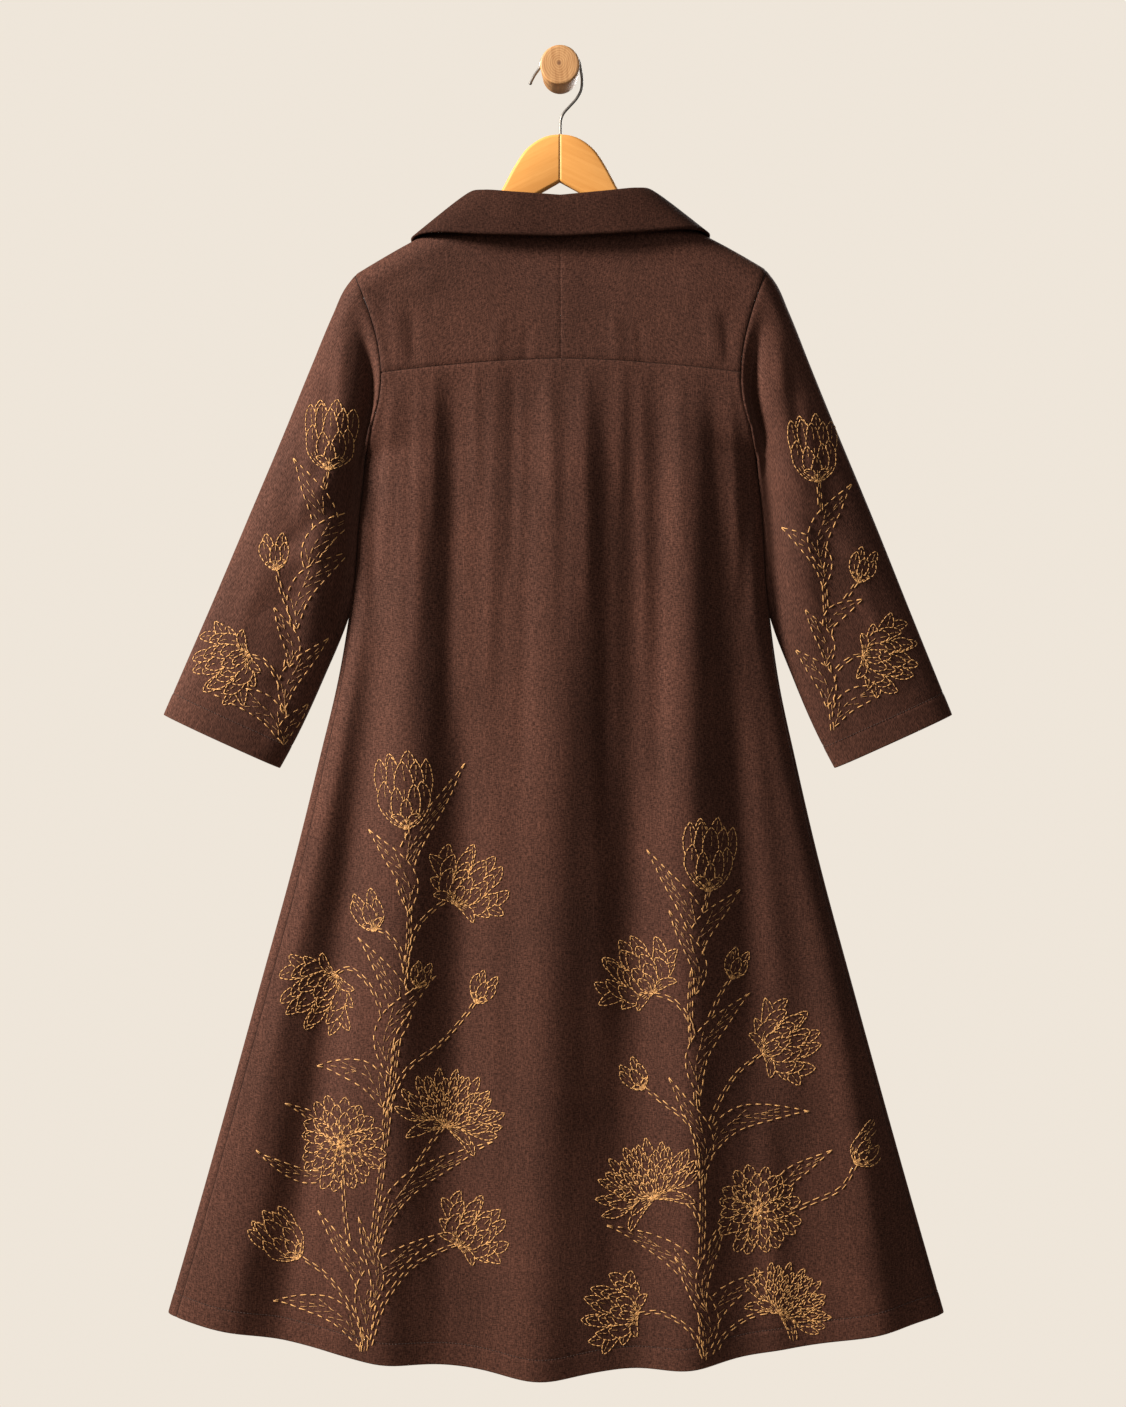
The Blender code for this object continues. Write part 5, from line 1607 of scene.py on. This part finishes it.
def tube(name, rings, material, node, sign=1):
    """A closed solid of rings in the place of its CAD node: quads between the rings, and one flat
    face over each end. Each ring repeats its first point as its last."""
    index = numbered(*rings.shape[:2], True)
    quads = corners_of(index, sign).reshape(-1, 4).tolist()
    ends = [index[0, :-1][::sign].tolist(), index[-1, :-1][::-sign].tolist()]
    mesh = bpy.data.meshes.new(name)
    mesh.from_pydata(rings[:, :-1].reshape(-1, 3), [], quads + ends)
    mesh.polygons.foreach_set("use_smooth", [True] * len(quads) + [False] * len(ends))
    mesh.materials.append(material)
    piece = add_object(name, mesh)
    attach(piece, "root")
    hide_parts(node)
    print(name, "faces:", len(mesh.polygons))


for word, hand in HANDS.items():
    honey = wood_material(f"honey wood {word}", (0.0, -hand * GRAIN_TURN, 0.0))
    tube(f"hanger_board_{word}", board_grid(hand), honey, f"hanger_{word}", hand)

# %% [markdown]
# The hook is one piece of drawn steel wire: it comes out of the wood, bends out to one side,
# goes over the peg and ends in a short turned tip with a blunt, slightly thicker end. A tube is
# a circle carried along the wire's middle line; here the line stays in one plane, so the two
# directions of each circle are simply the line's own normal and the Y axis.

# %% Hook and peg
WIRE_RADIUS = 1.4
PEG_BACK_RADIUS = 17.5
PEG_FRONT_RADIUS = 20.0
PEG_LENGTH = 55.0
HOOK_TIP = ((-30.5, -15.5), (-28.5, -11.0), (-25.5, -5.5))
HOOK_SHANK = ((21.8, -6.0), (22.2, -12.0), (21.2, -21.0), (16.6, -29.5), (10.0, -37.0), (4.2, -43.5),
              (1.4, -49.0), (0.5, -55.0), (0.5, -66.0), (0.5, -80.0))


def hook_line():
    """The wire's middle line: its tip, a half circle over the peg, and the bend down to the wood."""
    at_hook = PEG_BACK_RADIUS + (PEG_FRONT_RADIUS - PEG_BACK_RADIUS) * -HANG_Y / PEG_LENGTH
    bow = at_hook + WIRE_RADIUS + 0.4
    angle = np.radians(np.linspace(176, 0, 11))
    over = np.stack([bow * np.cos(angle), bow * np.sin(angle)], axis=-1)
    return np.concatenate([HOOK_TIP, over, HOOK_SHANK])


def hook_rings():
    """Circles of the wire's radius along a smooth line through the path's points."""
    path = hook_line()
    knots = [(k, *point) for k, point in enumerate(path)]
    line = smooth_points(knots, np.linspace(0, len(path) - 1, 220), (1, 2))
    way = unit(np.gradient(line, axis=0))
    run = running(np.linalg.norm(np.diff(line, axis=0), axis=1))
    radius = WIRE_RADIUS * (1 + 0.25 * np.exp(-((run / 3.0) ** 2))) * (0.25 + 0.75 * round_over(run / 1.3))
    turn = 2 * np.pi * np.linspace(0, 1, 17)[None, :]
    x = line[:, :1] - way[:, 1:] * radius[:, None] * np.cos(turn)
    z = line[:, 1:] + way[:, :1] * radius[:, None] * np.cos(turn)
    y = HANG_Y + radius[:, None] * np.sin(turn)
    return np.stack([x, y, z], axis=-1) * MM


def steel_material():
    """Drawn wire: fine lines along it, in the roughness and the bump."""
    material, tree, shader = principled("drawn steel wire")
    spot = add_node(tree, "TexCoord").outputs["Object"]
    lines = stretched_noise(tree, spot, (900, 900, 300), 3.0, "3D")
    set_inputs(tree, shader, {
        "Base Color": (0.19, 0.175, 0.16, 1), "Metallic": 1.0,
        "Roughness": between(tree, lines, 0.3, 0.7, 0.34, 0.52),
        "Normal": relief(tree, 0.25, 0.0002, lines)})
    return material


tube("hook_wire", hook_rings(), steel_material(), "hanger_hook")

# radius and distance from the wall: the peg's turned profile
PEG_PROFILE = ((2.0, 0.0), (16.6, 0.0), (17.4, 0.3), (17.6, 1.2), (18.2, 14.0), (19.1, 34.0),
               (19.9, 52.0), (19.8, 53.4), (19.3, 54.4), (18.4, 54.9), (17.0, 55.0), (9.0, 55.0),
               (2.0, 55.0))


def peg_rings():
    """The turned profile, swept once round the peg's own axis."""
    radius, out = np.array(PEG_PROFILE).T[:, :, None]
    turn = 2 * np.pi * np.linspace(0, 1, 73)
    x = radius * np.cos(turn)
    return np.stack([x, -out + 0 * x, radius * np.sin(turn)], axis=-1) * MM


def peg_material():
    """A sawn branch of pale brown wood: rings round a pith that lies off the middle on the face,
    medullary streaks across them, and long grain along the side."""
    material, tree, shader = principled("peg wood")
    spot = add_node(tree, "TexCoord").outputs["Object"]
    pith = add_node(tree, "Mapping", {"Vector": spot, "Location": (0.001, 0.0, -0.0015)}).outputs[0]
    flat = add_node(tree, "VectorMath", {0: pith, 1: (1.0, 0.02, 0.86)}, operation="MULTIPLY").outputs[0]
    wander = add_node(tree, "TexNoise", {"Vector": flat, "Scale": 90.0, "Detail": 2.0}).outputs[0]
    reach = add_node(tree, "VectorMath", {0: flat}, operation="LENGTH").outputs["Value"]
    ring = maths(tree, "SINE", weighted(tree, reach, 3000.0, wander, 9.0), 0.0)
    grain = stretched_noise(tree, spot, (420, 25, 60), 3.0, "3D")
    tone = weighted(tree, between(tree, ring, -1, 1, 0.0, 1.0), 0.3, grain, 0.9)
    colour = blend_colours(tree, between(tree, tone, 0.35, 0.85, 0.0, 1.0), (0.40, 0.185, 0.065, 1),
                           (0.64, 0.352, 0.150, 1))
    pith_dark = between(tree, reach, 0.0012, 0.0030, 0.8, 0.0)
    colour = blend_colours(tree, pith_dark, colour, (0.12, 0.045, 0.02, 1))
    set_inputs(tree, shader, {"Base Color": colour, "Roughness": 0.5,
                              "Normal": relief(tree, 0.3, 0.0003, tone)})
    return material


tube("peg", peg_rings(), peg_material(), "wall_peg", -1)

# %% [markdown]
# Last, the dressed part's box is printed beside the imported model's. Each cloth piece printed
# the size it was cut to when it was made: its widest row and its longest column, measured over
# the finished grid, give the rectangle that it was cut from, and the area inside it is summed
# from the grid's own cells.

new_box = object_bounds()
for word, box in (("packed", cad_box), ("dressed", new_box)):
    print(word, [[round(float(value) / MM, 1) for value in corner] for corner in box])
